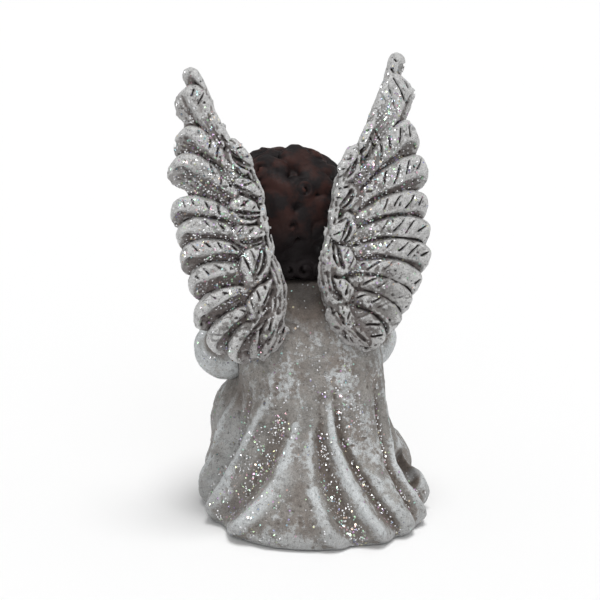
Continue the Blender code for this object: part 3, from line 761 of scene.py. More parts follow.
def make_wing(name, side, finish):
    shape = WINGS[name]
    clay = Clay(*WING_BLOCK, WING_CELL)
    feathers = lay_long_feathers(clay, shape)
    for centre, heading, half_length, half_width in shape["coverts"]:
        lay_leaf(clay, centre, heading, half_length, half_width, 1.35)
    for _ in range(9):
        centre = (RANDOM.uniform(6.5, 14.0), RANDOM.uniform(47.5, 54.0))
        lay_leaf(clay, centre, RANDOM.uniform(-75, -35), 3.4, RANDOM.uniform(1.3, 1.8), 0.9)

    def inner_rim(u, n, w):
        wide = np.interp(w, EDGE_HEIGHTS, EDGE_HALF_WIDTHS)
        off_centre = u - np.interp(w, EDGE_HEIGHTS, shape["edge"]) - wide
        warp = 0.9 * np.sin(w * 0.33 + side) + 0.5 * np.sin(w * 0.9)
        strands = np.cos(off_centre * 2 * math.pi / 1.2 + warp) * (0.65 + 0.35 * np.cos(0.5 * w + warp))
        rim = (np.hypot(off_centre / wide, (n - 0.2) / 2.1) - 1) * wide + 0.32 * strands
        return soft_max(rim, np.maximum(w - shape["edge_top"], EDGE_HEIGHTS[0] - w), 1.5)
    clay.add(inner_rim, (1.0, -3.0, 44.0), (20.0, 3.0, 99.0), 0.7)

    def web(u, n, w):
        inner = np.interp(w, EDGE_HEIGHTS, shape["edge"]) + 1.0
        return np.maximum(np.maximum(np.abs(n) - 1.0, inner - u), np.maximum(u - inner - 6.5, 48.0 - w))
    clay.add(web, (1.0, -3.0, 46.0), (20.0, 3.0, 90.0), 0.5)
    clay.add_egg((8.6, -1.6, 58.0), (3.4, 3.0, 7.5), 1.2)
    clay.roughen(0.75, 0.17)
    clay.roughen(1.6, 0.24)
    clay.roughen(3.6, 0.26)
    clay.pit(1.0, 0.45, 0.50)
    u, _, w = clay.coords()
    crumpled = smooth_step(np.interp(w, JOINT_HEIGHTS, JOINT_LINE) - u, 0.5, 4.5)
    crumpled = np.maximum(crumpled, 0.75 * smooth_step(u, 20.0, 27.0))
    clay.field += crumpled * (0.30 * clay.noise(1.25) + 0.35 * clay.noise(2.6))
    cut_to_robe(
        clay, lambda u, n, w: turned(WING_TURN, SPINE_FOOT, u * side, n, w - SPINE_FOOT[2]),
        WING_BLOCK[0], WING_FOOT_END)

    def paint(points):
        u, n, w = points.T
        joint = u - np.interp(w, JOINT_HEIGHTS, JOINT_LINE)
        spread = bell(joint, 5.0) * smooth_step(-w, -110, -96) * smooth_step(w, 56, 74)
        for middle, reach in shape["patches"]:
            spread = spread + 2.2 * bell(np.hypot(u - middle[0], w - middle[1]), reach)
        nearest = np.full(len(points), FAR)
        vane = np.zeros(len(points))
        stain = np.zeros(len(points))
        for i, feather in enumerate(feathers):
            gap, pocket = blade(u, n, w, *feather)
            closer = np.abs(gap) < nearest
            vane = np.where(closer, smooth_step(-pocket, -0.1, 0.5), vane)
            # vanes darker with brown wash and painted shade where each dives under the next feather
            stain = np.where(closer, vane * (0.35, 0.45, 0.75, 0.75, 1.0)[min(i, 4)], stain)
            nearest = np.minimum(nearest, np.abs(gap))
        on_feather = smooth_step(-nearest, -0.9, -0.4)
        vane = vane * on_feather
        stain = stain * on_feather * shape["stain"]
        # darker along the lower inner rim and at the wing's foot by the back
        rim = bell(u - np.interp(w, EDGE_HEIGHTS, shape["edge"]), 2.4) * smooth_step(-w, -76.0, -62.0)
        foot = smooth_step(-w, -57.0, -49.0) * smooth_step(-u, -20.0, -14.0)
        return {
            "glitter": 0.12 + 0.9 * spread + 0.1 * vane,
            "stain": np.maximum(stain, np.maximum(0.5 * rim, 0.5 * foot)),
            "chalk": (1 - vane) * (0.05 + 0.95 * smooth_step(u, 19.0, 26.0))}
    return cast(name, name, clay, finish, wing_to_world(side), paint)


# ------------------------------------------------------------------ robe

HEM_Z = 0.3
NECK_Z = 61.5
ROBE_POWER = 2.3
# height, half width, back reach, front reach, centre x, centre y
ROBE_SECTIONS = np.array((
    (HEM_Z, 27.2, 27.0, -31.5, -0.5, -4.0),
    (3.0, 28.4, 28.4, -32.5, -0.5, -4.0),
    (7.5, 27.0, 26.2, -31.5, -0.5, -4.0),
    (12.0, 24.2, 22.6, -29.5, -0.4, -4.0),
    (18.0, 21.4, 18.2, -26.0, -0.2, -3.8),
    (26.0, 19.2, 14.6, -19.5, 0.0, -2.8),
    (34.0, 18.4, 13.0, -15.5, 0.3, -1.6),
    (42.0, 18.3, 11.6, -15.0, 0.7, -2.0),
    (50.0, 15.6, 9.6, -15.5, 1.3, -3.6),
    (56.0, 11.8, 7.4, -15.0, 1.9, -4.8),
    (NECK_Z, 7.2, 1.4, -13.2, 2.5, -6.6),
))
TUCK = np.array((-22.8, 8.4, 11.8))          # deep hollow beside the last fold of the back
TUCK_RADII = (3.6, 7.5, 5.2)
RECESS_TOP = 0.9                             # the felt pad lies in a recess of the underside
FELT_GAP = 0.3
FELT_INSET = 2.3
FELT_MIDDLE = 0.35
FELT_HALF = 0.3
LEG_SWELLS = (
    ((16.6, -14.5, 8.4), 9.2), ((-20.0, -15.0, 8.0), 9.6), ((14.4, -13.5, 20.5), 10.4),
    ((-12.8, -13.5, 20.0), 9.6), ((13.6, -12.5, 28.0), 7.6),
)
# Folds of the cloth. Each is a line down the robe, as azimuths in degrees at the heights FOLD_STEPS,
# then its height in mm at the top and at the hem (below zero is a furrow), its half width in mm, and
# its lean: how much wider its gentle side is, towards higher azimuths or, below zero, towards lower.
FOLD_STEPS = (32.0, 24.0, 16.0, 8.0, 1.0)
FOLDS = (
    ((34, 26, 19, 15, 9), 1.3, 1.7, 2.2, 0), ((50, 48, 42, 32, 21), -0.9, -2.7, 3.2, 0),
    ((65, 61, 56, 45, 33), 0.9, 2.5, 1.9, 1.1), ((80, 74, 66, 58, 52), 0.0, 0.6, 2.0, 0),
    ((79, 74, 75, 81, 88), 0.6, 1.7, 1.4, -1.0), ((82, 83, 85, 90, 96), -0.9, -2.3, 2.3, 0),
    ((92, 92, 96, 101, 109), 1.3, 2.6, 1.9, 0), ((98, 99, 105, 111, 118), -1.5, -2.2, 1.4, 0),
    ((124, 120, 116, 117, 125), 0.8, 1.3, 3.6, 0), ((142, 137, 129, 128, 131), -1.0, -1.6, 1.3, 0),
    ((152, 150, 134, 135, 141), 0.8, 1.5, 1.6, 0), ((165, 160, 148, 147, 153), -0.5, -2.8, 3.0, 0),
    ((176, 172, 164, 161, 162), 0.3, 1.7, 2.2, 0), ((-24, -24, -24, -28, -34), -0.4, -1.4, 2.6, 0),
    ((-52, -44, -40, -40, -40), 0.3, 1.2, 2.6, 0), ((-66, -62, -60, -58, -56), -0.5, -1.2, 2.2, 0),
    ((-90, -84, -80, -78, -76), -0.6, -1.4, 2.4, 0), ((-90, -92, -92, -92, -92), 0.7, 1.3, 2.4, 0),
    ((-98, -102, -104, -105, -106), -0.6, -1.3, 2.2, 0), ((-118, -120, -122, -124, -126), 0.5, 1.1, 2.6, 0),
    ((-140, -140, -142, -146, -148), -0.4, -1.2, 2.6, 0), ((16, 10, 5, 1, -6), -1.5, -1.7, 2.0, 0),
    ((-6, -8, -10, -14, -18), 0.9, 0.9, 1.7, 0),
)


def monotone(x, xs, ys):
    """Smooth curve through points, without overshoot (cubic Hermite, limited slopes)."""
    steps = np.diff(xs)
    rises = np.diff(ys) / steps
    slopes = np.concatenate(([rises[0]], (rises[1:] + rises[:-1]) / 2, [rises[-1]]))
    turning = np.concatenate(([False], rises[1:] * rises[:-1] <= 0, [False]))
    slopes[turning] = 0
    i = np.clip(np.searchsorted(xs, x) - 1, 0, len(steps) - 1)
    t = np.clip((x - xs[i]) / steps[i], 0.0, 1.0)
    h = steps[i]
    return (
        ys[i] * (1 + 2 * t) * (1 - t) ** 2 + slopes[i] * h * t * (1 - t) ** 2
        + ys[i + 1] * t * t * (3 - 2 * t) + slopes[i + 1] * h * t * t * (t - 1))


def lofted(z):
    """Half width, back reach, front reach, centre x and centre y at the heights z."""
    return [monotone(z, ROBE_SECTIONS[:, 0], ROBE_SECTIONS[:, i]) for i in range(1, 6)]


def robe_cone(x, y, z):
    """Distance estimate to the plain robe, without legs or folds."""
    half_width, back, front, centre_x, centre_y = lofted(z)
    px = x - centre_x
    py = y - centre_y
    reach = np.where(py > 0, back - centre_y, centre_y - front)
    away = np.hypot(px, py) + 1e-6
    shape = (np.abs(px / half_width) ** ROBE_POWER + np.abs(py / reach) ** ROBE_POWER) ** (1 / ROBE_POWER)
    level = away / np.maximum(shape, 1e-6)
    flare = np.abs(lofted(z + 0.5)[0] - lofted(z - 0.5)[0])
    return (away - level) / np.sqrt(1 + flare ** 2)


def hem_outline(x, y, inset):
    """Distance estimate to the outline of the hem, drawn in by inset."""
    return robe_cone(x, y, np.full((1, 1, 1), HEM_Z, np.float32)) + inset


def fold_map(azimuth, z, girth):
    """How far the folds raise the cloth, for an azimuth in degrees; girth is the distance to the axis."""
    raised = np.zeros(np.broadcast(azimuth, z).shape, np.float32)
    low = smooth_step(-z, -30.0, -4.0)
    fade = smooth_step(-z, -38.0, -26.0) * (0.35 + 0.65 * smooth_step(z, 0.5, 6.0))
    spread = 0.8 + 0.35 * smooth_step(-z, -30.0, -6.0)
    for line, top, hem, width, lean in FOLDS:
        centre = np.interp(z, FOLD_STEPS[::-1], line[::-1])
        height = (top + (hem - top) * low) * fade
        away = (azimuth - centre + 180) % 360 - 180
        gentle = width * (1 + abs(lean))
        reach = np.where(away * lean > 0, gentle, width) * spread
        raised += height * bell(np.radians(away) * girth, reach)
    return raised


def robe_angles(x, y, z):
    """Azimuth in degrees and distance to the robe's axis."""
    _, _, _, centre_x, centre_y = lofted(z)
    px = x - centre_x
    py = y - centre_y
    return np.degrees(np.arctan2(py, px)) % 360, np.hypot(px, py)


def robe_field(x, y, z):
    body = robe_cone(x, y, z)
    for centre, radius in LEG_SWELLS:
        body = soft_min(body, ball(x, y, z, centre, radius), 5.0)
    azimuth, girth = robe_angles(x, y, z)
    pleats = np.sin(0.31 * azimuth + 1.5 * np.sin(z / 9.0))
    pleats = pleats + 0.6 * np.sin(0.83 * azimuth - 1.4 * np.sin(z / 6.0))
    waist = smooth_step(z, 22.0, 32.0) * smooth_step(-z, -58.0, -46.0)
    sides = 0.25 + 0.75 * np.abs(np.cos(np.radians(azimuth))) ** 1.5
    return body - fold_map(azimuth, z, girth) - 0.05 * waist * sides * pleats


def cut_to_robe(clay, on_robe, low=LOW_END, high=HIGH_END):
    """Cut clay flush with the robe; on_robe turns the block's coordinates into the world's."""
    clay.cut(lambda x, y, z: robe_field(*on_robe(x, y, z)) - SEAM, low, high)


def make_robe(finish):
    clay = Clay((-33.0, -37.0, -1.0), (33.0, 33.0, 65.0), ROBE_CELL)
    clay.add(robe_field)
    clay.roughen(0.8, 0.08)
    clay.roughen(1.8, 0.13)
    clay.roughen(5.0, 0.30)
    clay.pit(1.3, 0.25, 0.55)
    reach = np.max(TUCK_RADII)
    clay.cut(lambda x, y, z: egg(x, y, z, TUCK, TUCK_RADII), TUCK - reach, TUCK + reach, 2.2)
    clay.cut(lambda x, y, z: np.maximum(z - RECESS_TOP, hem_outline(x, y, FELT_INSET - FELT_GAP)))
    clay.cut(lambda x, y, z: z - HEM_Z)
    clay.cut(lambda x, y, z: NECK_Z - z, blend=1.5)

    def paint(points):
        x, y, z = points.T
        azimuth, girth = robe_angles(x, y, z)
        fold = fold_map(azimuth, z, girth)
        valley = smooth_step(-fold, 0.1, 1.1)
        seat = bell(azimuth - 102, 16) * bell(z - 33, 9)
        flank = bell(azimuth - 36, 14) * bell(z - 12, 12)
        # painted shade between the wings, where the wings and hair shadow the back
        shade_between_wings = bell(x - 4.0, 7.5) * smooth_step(z, 46.0, 55.0) * smooth_step(y, -8.0, 0.0)
        # painted shade in the tucked hollow under the overhanging knee
        tuck_shade = bell(np.maximum(egg(x, y, z, TUCK, TUCK_RADII), 0), 1.0)
        from_left = (azimuth + 180) % 360 - 180
        # the figure's left side below the knee is lighter, as painted light on the lit side: less wash, more
        # white
        lit_left_side = bell(from_left + 2, 24) * smooth_step(-z, -31, -24)
        # painted shade on the robe under the left sleeve
        shade_under_sleeve = bell(from_left, 24) * bell(z - 33, 6)
        # the painted shade deepens towards the neck under the hair, beyond the plain wash
        neck_shade = shade_between_wings * (1 + 0.9 * smooth_step(z, 52.5, 59.0))
        stain = np.maximum(0.7 * valley * (1 - 0.6 * lit_left_side), 1.25 * tuck_shade)
        # the wash also grows darker towards the hem
        stain = np.maximum(stain, np.maximum(0.8 * shade_under_sleeve, 0.4 * smooth_step(-z, -12, -4)))
        return {
            "glitter": 0.07 + 0.9 * np.maximum(valley, np.maximum(0.7 * seat, flank)),
            "stain": np.maximum(stain, neck_shade),
            "chalk": np.maximum(smooth_step(fold, 0.8, 2.0), 0.55 * lit_left_side)}
    return cast("robe_body", "robe_body", clay, finish, None, paint)


# ------------------------------------------------------------------ head and hair

SKULL_CENTRE = np.array((4.0, -13.5, 76.5))
HEAD_TURN = np.array(LEAN @ Matrix.Rotation(math.radians(12.0), 3, "X"))
NAPE = np.array((2.5, -6.6, 61.9))
CRANIUM = ((0.0, 0.4, 1.4), (12.6, 12.4, 12.4))
LOWER_FACE = ((0.0, -3.4, -6.0), (10.4, 9.8, 8.8))
EYE = (4.7, -10.5, -1.6)
MOUTH = (0.0, -12.9, -9.2)
HAIR_CENTRE = np.array((0.4, 1.1, 1.5))         # from the skull's centre
HAIR_HALF = np.array((15.9, 14.2, 14.2))
SCALP_DEPTH = 1.3                               # the locks lie on an egg this much smaller
FACE_OPENING = ((0.0, -17.0, -5.5), (12.6, 16.0, 14.0))


def head_to_world(points):
    return points @ HEAD_TURN.T + SKULL_CENTRE, False


def into_head(point):
    return (np.array(point) - SKULL_CENTRE) @ HEAD_TURN


def skull_field(x, y, z):
    return soft_min(egg(x, y, z, *CRANIUM), egg(x, y, z, *LOWER_FACE), 4.0)


def lid_line(x):
    """Height of a closed eye's lash line above the eye's middle, across the eye."""
    return -0.95 + 0.16 * np.square(x)


def model_face(clay):
    """Calm closed eyes, brows, ears, nose, chin and mouth, each an egg pressed on or cut away."""
    for side in (-1, 1):
        clay.add_egg((5.4 * side, -8.6, -6.2), (4.4, 4.0, 4.2), 2.5)                    # cheek
        clay.cut(
            lambda x, y, z: egg(x, y, z, (4.6 * side, -14.2, -0.4), (3.4, 2.6, 2.3)),   # eye socket
            (4.6 * side - 3.4, -17, -3), (4.6 * side + 3.4, -11, 2.2), 1.6)
        clay.add_egg((EYE[0] * side, EYE[1] + 0.35, EYE[2]), (2.75, 2.15, 2.0), 0.35)   # lid
        clay.add_egg((EYE[0] * side, EYE[1] - 1.15, 2.3), (3.6, 1.3, 0.75), 1.2)        # brow
        clay.add_egg((12.4 * side, 0.6, -3.0), (1.5, 2.4, 3.3), 0.8)                    # ear
        clay.cut(
            lambda x, y, z: egg(x, y, z, (13.9 * side, -0.2, -2.8), (1.0, 1.3, 1.9)),
            (13.9 * side - 1, -2, -5), (13.9 * side + 1, 2, 0), 0.5)
        clay.add_egg((1.15 * side, -13.4, -6.7), (0.95, 1.2, 0.85), 0.7)                # nostril
    clay.add_rod((0, -11.4, -1.4), (0, -13.6, -6.2), 1.0, 1.25, 1.4)                    # nose
    clay.add_ball((0, -14.0, -6.4), 1.1, 0.9)
    clay.add_egg((0, -9.9, -12.2), (3.2, 2.6, 2.4), 2.5)                                # chin
    clay.add_egg((0, -11.8, -9.3), (3.2, 1.5, 2.0), 1.4)
    for side in (-1, 1):
        clay.add_egg((0.8 * side, MOUTH[1] - 0.1, MOUTH[2] + 0.62), (1.25, 0.8, 0.52), 0.35)
    clay.add_egg((0, MOUTH[1] - 0.05, MOUTH[2] - 0.72), (1.65, 0.85, 0.62), 0.35)

    def mouth_line(x, y, z):
        return np.hypot(z - MOUTH[2] - 0.035 * np.square(x), np.maximum(np.abs(x) - 2.4, 0)) - 0.13
    clay.cut(mouth_line, (-2.7, -15.0, -9.9), (2.7, -13.0, -8.4), 0.3)


def make_head(finish):
    clay = Clay((-15.0, -17.0, -21.5), (15.0, 16.0, 16.0), HEAD_CELL)
    clay.add(skull_field)
    model_face(clay)
    nape = into_head(NAPE)
    clay.add_rod(nape, (0.0, 1.0, -5.0), 5.3, 5.6, 2.5)
    clay.cut(lambda x, y, z: (z - nape[2]) + 0.2 * (y - nape[1]))
    clay.roughen(2.0, 0.03)

    def paint(points):
        x, y, z = points.T
        front = smooth_step(-y, 8.0, 10.0)
        across = np.abs(x) - EYE[0]
        lash = bell(z - EYE[2] - lid_line(across), 0.17) * smooth_step(-np.abs(across), -2.5, -2.0)
        brow = bell(z - 2.6 + 0.07 * np.square(across - 0.4), 0.3) * smooth_step(-np.abs(across), -3.3, -2.2)
        height = z - MOUTH[2]
        lip_reach = np.hypot(x / 2.3, (height + 0.05) / (1.15 - 0.1 * np.abs(x)))
        cheek = np.hypot(np.abs(x) - 6.6, (z + 5.6) * 1.1)
        return {
            "dark_paint": np.maximum(lash, 0.8 * brow) * front,
            "lip": smooth_step(-lip_reach, -1.05, -0.9) * front,
            "blush": bell(cheek, 3.2) * smooth_step(-y, 2.0, 8.0),
        }
    return cast("head", "head", clay, finish, head_to_world, paint)


def curl_field(offset, normal, across, size):
    """A flat spiral lock lying on the scalp, its strand fluted like combed hair."""
    phase = RANDOM.uniform(0, 6.28)
    other = np.cross(normal, across) * RANDOM.choice((-1, 1))
    laps = 1.7
    shrink = 0.84                     # the innermost lap is this much smaller than the outermost
    reach = 2 * math.pi * laps
    strand = 0.5 * size * shrink / laps + 0.12

    def field(x, y, z):
        px, py, pz = x - offset[0], y - offset[1], z - offset[2]
        p = px * across[0] + py * across[1] + pz * across[2]
        q = px * other[0] + py * other[1] + pz * other[2]
        away = np.hypot(p, q)
        h = px * normal[0] + py * normal[1] + pz * normal[2] + away * away / 30.0
        angle = (np.arctan2(q, p) - phase) % (2 * math.pi)
        best = np.full(away.shape, FAR, np.float32)
        for lap in (0, 1):
            travelled = angle + 2 * math.pi * lap
            part = travelled / reach
            ring = size * (1.0 - shrink * part)
            middle = 1.3 * part - 0.2
            spin = np.arctan2(h - middle, away - ring)
            taper = np.sqrt(np.clip(np.minimum(part * 5, (1.03 - part) * 8), 0.0, 1.0))
            flute = 1 + 0.12 * np.cos(4 * spin + 1.2 * travelled)
            fat = strand * taper * flute
            best = np.minimum(best, np.where(part < 1.03, np.hypot(away - ring, h - middle) - fat, FAR))
        return best
    return field


def on_scalp(direction, rise=0.0):
    return HAIR_CENTRE + unit(direction) * (HAIR_HALF - SCALP_DEPTH + rise)


def add_lock(clay, start, heading, length, wave, width):
    """A wavy lock of three strands that runs over the scalp."""
    side = np.cross(unit(start), heading)
    steps = 12
    phase = RANDOM.uniform(0, 6.28)
    for strand in (-1, 0, 1):
        previous = None
        for k in range(steps + 1):
            t = k / steps
            sway = wave * math.sin(2 * math.pi * t + phase) + strand * width * 0.9 * (1 - 0.75 * t * t)
            lift = 0.5 - 0.25 * abs(strand) + 0.7 * math.sin(2 * math.pi * t + phase + 1.2)
            point = on_scalp(start + (heading * length * (t - 0.3) + side * sway) / 14.0, lift)
            radius = width * (1.05 - 0.65 * t * t)
            if previous is not None:
                clay.add_rod(previous[0], point, previous[1], radius, 0.7)
            previous = (point, radius)


def spread_over_scalp(count):
    """Directions and places spread evenly over the hair, away from the face and the neck."""
    golden = math.pi * (3 - math.sqrt(5))
    for i in range(count):
        level = 1 - 2 * (i + 0.5) / count
        turn = golden * i + RANDOM.uniform(-0.2, 0.2)
        flat = math.sqrt(1 - level * level)
        direction = np.array((flat * math.cos(turn), flat * math.sin(turn), level))
        place = on_scalp(direction)
        to_face = np.linalg.norm((place - FACE_OPENING[0]) / np.array(FACE_OPENING[1]))
        if to_face > 1.08 and place[2] > -11.0:
            yield direction, place


def make_hair(finish):
    clay = Clay((-18.5, -15.5, -19.0), (18.5, 16.8, 17.5), HAIR_CELL)
    clay.add_egg(HAIR_CENTRE, HAIR_HALF - SCALP_DEPTH)
    for direction, _ in spread_over_scalp(46):
        down = np.array((0, 0, -1.0)) + 0.8 * RANDOM.normal(size=3)
        heading = unit(down - direction * down.dot(direction))
        length = RANDOM.uniform(10, 15)
        wave = RANDOM.uniform(1.2, 2.4)
        add_lock(clay, direction, heading, length, wave, RANDOM.uniform(1.3, 1.9))
    for direction, place in spread_over_scalp(17):
        normal = unit(direction / HAIR_HALF)
        across = unit(np.cross(normal, RANDOM.normal(size=3)))
        size = RANDOM.uniform(3.0, 4.2)
        field = curl_field(place + normal * 0.9, normal, across, size)
        clay.add(field, place - size - 2.0, place + size + 2.0, 0.9)
    nape = into_head(NAPE - (0, 0, 0.9))
    clay.add_egg(nape + (0.3, 2.6, 3.4), (7.8, 5.6, 4.4), 2.0)
    for turn in np.radians(np.arange(-20, 201, 27)):
        outwards = unit(np.array((math.cos(turn), math.sin(turn), -0.25)))
        place = nape + (0.3, 2.2, RANDOM.uniform(2.0, 3.4)) + outwards * (7.4, 5.6, 4.0)
        along = unit(np.cross(outwards, (0, 0, 1.0)))
        clay.add(curl_field(place, outwards, along, RANDOM.uniform(2.2, 2.9)), place - 5, place + 5, 0.6)
    clay.cut(lambda x, y, z: egg(x, y, z, *FACE_OPENING), blend=0.8)
    clay.cut(lambda x, y, z: skull_field(x, y, z) - SEAM)
    clay.cut(lambda x, y, z: rod(x, y, z, nape - (0, 0, 3), (0.0, 0.5, -8.0), 5.4, 5.8), blend=0.4)

    def shoulders(x, y, z):
        there = turned(HEAD_TURN, SKULL_CENTRE, x, y, z)
        return np.maximum(robe_cone(*there), there[2] - NECK_Z) - SEAM
    clay.cut(shoulders, (-18, -16, -22), (18, 17, -8))
    clay.roughen(0.8, 0.05)
    # redness rises towards the top of the head, as painted light from above
    return cast(
        "hair", "hair", clay, finish, head_to_world,
        lambda points: {"redness": smooth_step(points[:, 2], -11.0, 1.0)})


# ------------------------------------------------------------------ sleeves, hands, feet and pad

TORSO_MIDDLE = 2.2          # the upper body's middle plane lies at this x
# centre, half width and half height of the left sleeve, from the shoulder to the cuff
ARM_STATIONS = (
    ((12.5, -3.5, 53.5), 4.6, 4.6), ((18.0, -6.0, 48.5), 5.8, 6.2), ((20.8, -11.5, 42.5), 6.9, 8.2),
    ((17.0, -18.5, 41.5), 6.1, 7.8), ((9.4, -24.0, 45.5), 4.9, 6.6),
)
PALM = np.array((TORSO_MIDDLE + 1.25, -26.4, 52.0))
FINGERS_UP = np.array((0.0, 0.24, 0.97))
FINGERS_AHEAD = np.array((0.0, -0.97, 0.24))
FOOT = np.array((7.2, -33.0, 4.2))


def across_middle(side, middle):
    """Turns points of the left side into the same or the other side."""
    def to_world(points):
        if side > 0:
            return points, False
        return points * (-1, 1, 1) + (2 * middle, 0, 0), True
    return to_world


def plain_skin(points):
    """Skin without the face's paint."""
    return {name: np.zeros(len(points)) for name in ("dark_paint", "lip", "blush")}


def make_sleeve(label, side, finish):
    clay = Clay((2.0, -32.0, 30.5), (31.0, 4.0, 60.5), SLEEVE_CELL)
    stations = [(np.array(c), w, h - w) for c, w, h in ARM_STATIONS]
    for (start, width, drop), (end, end_width, end_drop) in zip(stations, stations[1:]):
        for part in (0.0, 1.0):
            sag = np.array((0, 0, -1.0)) * part
            clay.add_rod(start + sag * drop, end + sag * end_drop, width, end_width, 1.5)

    def creases(x, y, z):
        angle = np.arctan2(z - 51.0, -(y + 13.0)) + 0.35 * np.sin(0.25 * (x + y))
        away = np.hypot(z - 51.0, y + 13.0)
        return np.cos(7.0 * angle) * bell(away - 9.0, 5.0)
    clay.field += (0.7 * creases(*clay.coords())).astype(np.float32)

    cuff = stations[-1][0]
    forearm = unit(cuff - stations[-2][0])
    brim = cuff + forearm * 1.5
    clay.cut(
        lambda x, y, z: -sum((p - b) * f for p, b, f in zip((x, y, z), brim, forearm)),
        cuff - 12, cuff + 12, 0.6)
    clay.cut(
        lambda x, y, z: rod(x, y, z, cuff - forearm * 3.5 - (0, 0, 0.8), cuff + forearm * 3, 3.1, 4.3),
        cuff - 10, cuff + 10, 0.6)
    clay.cut(lambda x, y, z: x - TORSO_MIDDLE - 0.4)
    cut_to_robe(clay, lambda x, y, z: (x if side > 0 else 2 * TORSO_MIDDLE - x, y, z))
    clay.roughen(1.1, 0.06)
    clay.roughen(4.0, 0.15)

    def paint(points):
        x, y, z = points.T
        # painted shade on the sleeve's inner side, beside the robe
        shade_beside_robe = smooth_step(-x, -23.5, -18.0) * smooth_step(-z, -46.0, -36.0)
        shade_beside_robe = shade_beside_robe * smooth_step(y, -22.0, -12.0)
        hollow = smooth_step(creases(x, y, z), 0.2, 0.8)
        return {
            "glitter": np.full(len(points), 0.2), "stain": np.maximum(0.9 * shade_beside_robe, 0.5 * hollow),
            "chalk": 1 - hollow}
    name = f"{label}_sleeve"
    return cast(name, name, clay, finish, across_middle(side, TORSO_MIDDLE), paint)


def make_hand(label, side, finish):
    clay = Clay((1.6, -33.0, 38.0), (16.0, -17.0, 61.5), LIMB_CELL)
    for i, length in enumerate((6.2, 7.4, 7.0, 5.4)):
        start = PALM + FINGERS_AHEAD * (2.5 - 1.65 * i) - FINGERS_UP * 0.6
        knuckle = start + FINGERS_UP * length * 0.5 + (0.12, 0, 0)
        tip = start + FINGERS_UP * length * 0.93 + (-0.15, 0.15 * i, 0)
        clay.add_rod(start, knuckle, 0.95, 0.88, 0.25)
        clay.add_rod(knuckle, tip, 0.88, 0.66, 0.15)
    clay.add_egg(PALM - FINGERS_UP * 2.0, (1.5, 3.7, 3.4), 0.8)
    thumb = PALM + FINGERS_AHEAD * 1.6 - FINGERS_UP * 3.2 + (0.5, 0, 0)
    joint = PALM + FINGERS_AHEAD * 3.6 - FINGERS_UP * 0.8 + (0.5, 0, 0)
    clay.add_rod(thumb, joint, 1.35, 1.0, 0.6)
    clay.add_rod(joint, joint + FINGERS_UP * 2.6 - (0.3, 0, 0), 1.0, 0.72, 0.2)
    wrist = PALM - FINGERS_UP * 4.2 + (0.4, 0, 0)
    clay.add_rod(wrist, (11.6, -22.0, 44.5), 2.0, 2.5, 1.2)
    clay.cut(lambda x, y, z: x - TORSO_MIDDLE - 0.05)
    name = f"{label}_hand"
    return cast(name, name, clay, finish, across_middle(side, TORSO_MIDDLE), plain_skin)


def make_foot(label, side, finish):
    clay = Clay((1.5, -39.0, 0.4), (13.0, -22.0, 9.5), LIMB_CELL)
    clay.add_egg(FOOT + (0, 2.8, 0.1), (3.4, 5.6, 2.5), 0.5)
    clay.add_egg(FOOT + (0.1, 0.2, -0.5), (3.7, 2.6, 1.9), 0.8)
    clay.add_rod(FOOT + (0, 3.0, 0.6), FOOT + (0, 8.5, 1.2), 2.2, 2.0, 1.5)
    for i, (size, ahead) in enumerate(((1.25, 3.0), (0.95, 2.95), (0.9, 2.5), (0.82, 1.9), (0.75, 1.1))):
        spot = FOOT + (-2.5 + 1.42 * i - 0.05 * i * i, -ahead, -1.0)
        clay.add_rod(FOOT + (-1.9 + 1.0 * i, 0.0, -0.2), spot + (0, 0.6, 0.4), size, size * 0.85, 0.3)
        clay.add_ball(spot, size, 0.15)
    clay.cut(lambda x, y, z: z - 1.7, blend=0.5)
    cut_to_robe(clay, lambda x, y, z: (x * side, y, z))
    name = f"{label}_foot"
    return cast(name, name, clay, finish, across_middle(side, 0.0), plain_skin)


def make_felt(finish):
    clay = Clay((-29.0, -34.0, -0.7), (29.0, 30.0, 1.3), FELT_CELL)
    clay.add(
        lambda x, y, z: soft_max(hem_outline(x, y, FELT_INSET), np.abs(z - FELT_MIDDLE) - FELT_HALF, 0.3))
    clay.roughen(0.9, 0.05)
    return cast("felt_pad", "felt_pad", clay, finish)


# ------------------------------------------------------------------ assembly, light and camera

robe_resin = washed_resin(
    "whitewashed_resin", grey=(0.31, 0.295, 0.275), white=(0.61, 0.635, 0.645), wash=(0.120, 0.097, 0.082),
    white_share=0.11, wash_share=0.26, glitter=1.8, cloudy=0.9, coarse=0.85)
wing_resin = washed_resin(
    "glittered_resin", grey=(0.20, 0.19, 0.18), white=(0.60, 0.60, 0.595), wash=(0.100, 0.079, 0.074),
    white_share=0.27, wash_share=0.08, glitter=3.4, cloudy=0.6, coarse=1.0)
skin_paint = painted_skin()
make_robe(robe_resin)
make_wing("left_wing", 1, wing_resin)
make_wing("right_wing", -1, wing_resin)
make_head(skin_paint)
make_hair(painted_hair())
for label, side in (("left", 1), ("right", -1)):
    make_sleeve(label, side, robe_resin)
    make_hand(label, side, skin_paint)
    make_foot(label, side, skin_paint)
make_felt(felt_material())


def make_stage():
    """Plain pale floor, wide enough to fill the picture behind the figure."""
    corners = 12.0 * np.array([(-1, -1, 0), (1, -1, 0), (1, 1, 0), (-1, 1, 0)])
    floor = make_mesh("floor", corners, np.array([[0, 1, 2, 3]]))
    paint = bpy.data.materials.new("pale_floor")
    paint.use_nodes = True
    shader = paint.node_tree.nodes["Principled BSDF"]
    shader.inputs["Base Color"].default_value = (0.94, 0.94, 0.94, 1)
    shader.inputs["Roughness"].default_value = 1.0
    shader.inputs["Specular IOR Level"].default_value = 0.0
    floor.data.materials.append(paint)


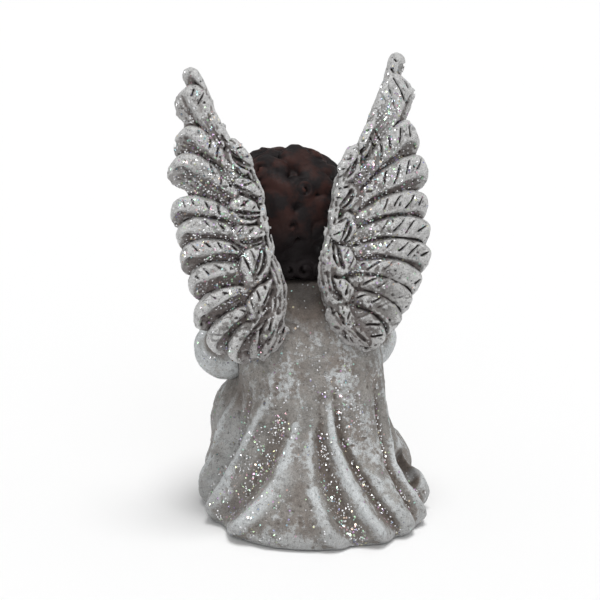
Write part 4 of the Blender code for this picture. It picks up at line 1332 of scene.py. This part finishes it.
def add_sun(name, towards, strength, spread):
    """Soft distant light; towards is the direction it comes from, spread its width in degrees."""
    lamp = bpy.data.lights.new(name, "SUN")
    lamp.energy = strength
    lamp.angle = math.radians(spread)
    made = bpy.data.objects.new(name, lamp)
    made.rotation_euler = Vector(towards).to_track_quat("Z", "Y").to_euler()
    bpy.context.scene.collection.objects.link(made)


CAMERA_AZIMUTH = math.radians(166.0)
CAMERA_ELEVATION = math.radians(14.0)
CAMERA_DISTANCE = 0.42
SENSOR_WIDTH = 36.0
FIELD_WIDTH = 0.150           # the camera sees this width at its distance, in metres
AIM = Vector((0.0039, 0.0, 0.0564))


def set_camera():
    camera = bpy.data.cameras.new("camera")
    camera.sensor_width = SENSOR_WIDTH
    camera.lens = SENSOR_WIDTH * CAMERA_DISTANCE / FIELD_WIDTH
    made = bpy.data.objects.new("camera", camera)
    level = math.cos(CAMERA_ELEVATION)
    back = Vector((
        math.sin(CAMERA_AZIMUTH) * level, -math.cos(CAMERA_AZIMUTH) * level, math.sin(CAMERA_ELEVATION)))
    made.location = AIM + back * CAMERA_DISTANCE
    made.rotation_euler = (-back).to_track_quat("-Z", "Y").to_euler()
    bpy.context.scene.collection.objects.link(made)
    bpy.context.scene.camera = made


def set_light():
    world = bpy.data.worlds.new("studio")
    bpy.context.scene.world = world
    world.use_nodes = True
    nodes = world.node_tree.nodes
    links = world.node_tree.links
    direction = nodes.new("ShaderNodeTexCoord")
    upwards = nodes.new("ShaderNodeSeparateXYZ")
    links.new(direction.outputs["Generated"], upwards.inputs["Vector"])
    sky = nodes.new("ShaderNodeMapRange")
    links.new(upwards.outputs["Z"], sky.inputs["Value"])
    horizon = {"From Min": 0.10, "From Max": 0.22, "To Min": 1.0, "To Max": 0.40}
    for key, number in horizon.items():
        sky.inputs[key].default_value = number
    links.new(sky.outputs["Result"], nodes["Background"].inputs["Strength"])
    nodes["Background"].inputs["Color"].default_value = (1, 1, 1, 1)
    add_sun("key", (-0.05, 0.14, 1.0), 1.9, 25)
    add_sun("fill", (0.1, 0.9, 0.5), 0.35, 50)
    bpy.context.scene.view_settings.view_transform = "Standard"


make_stage()
set_light()
set_camera()
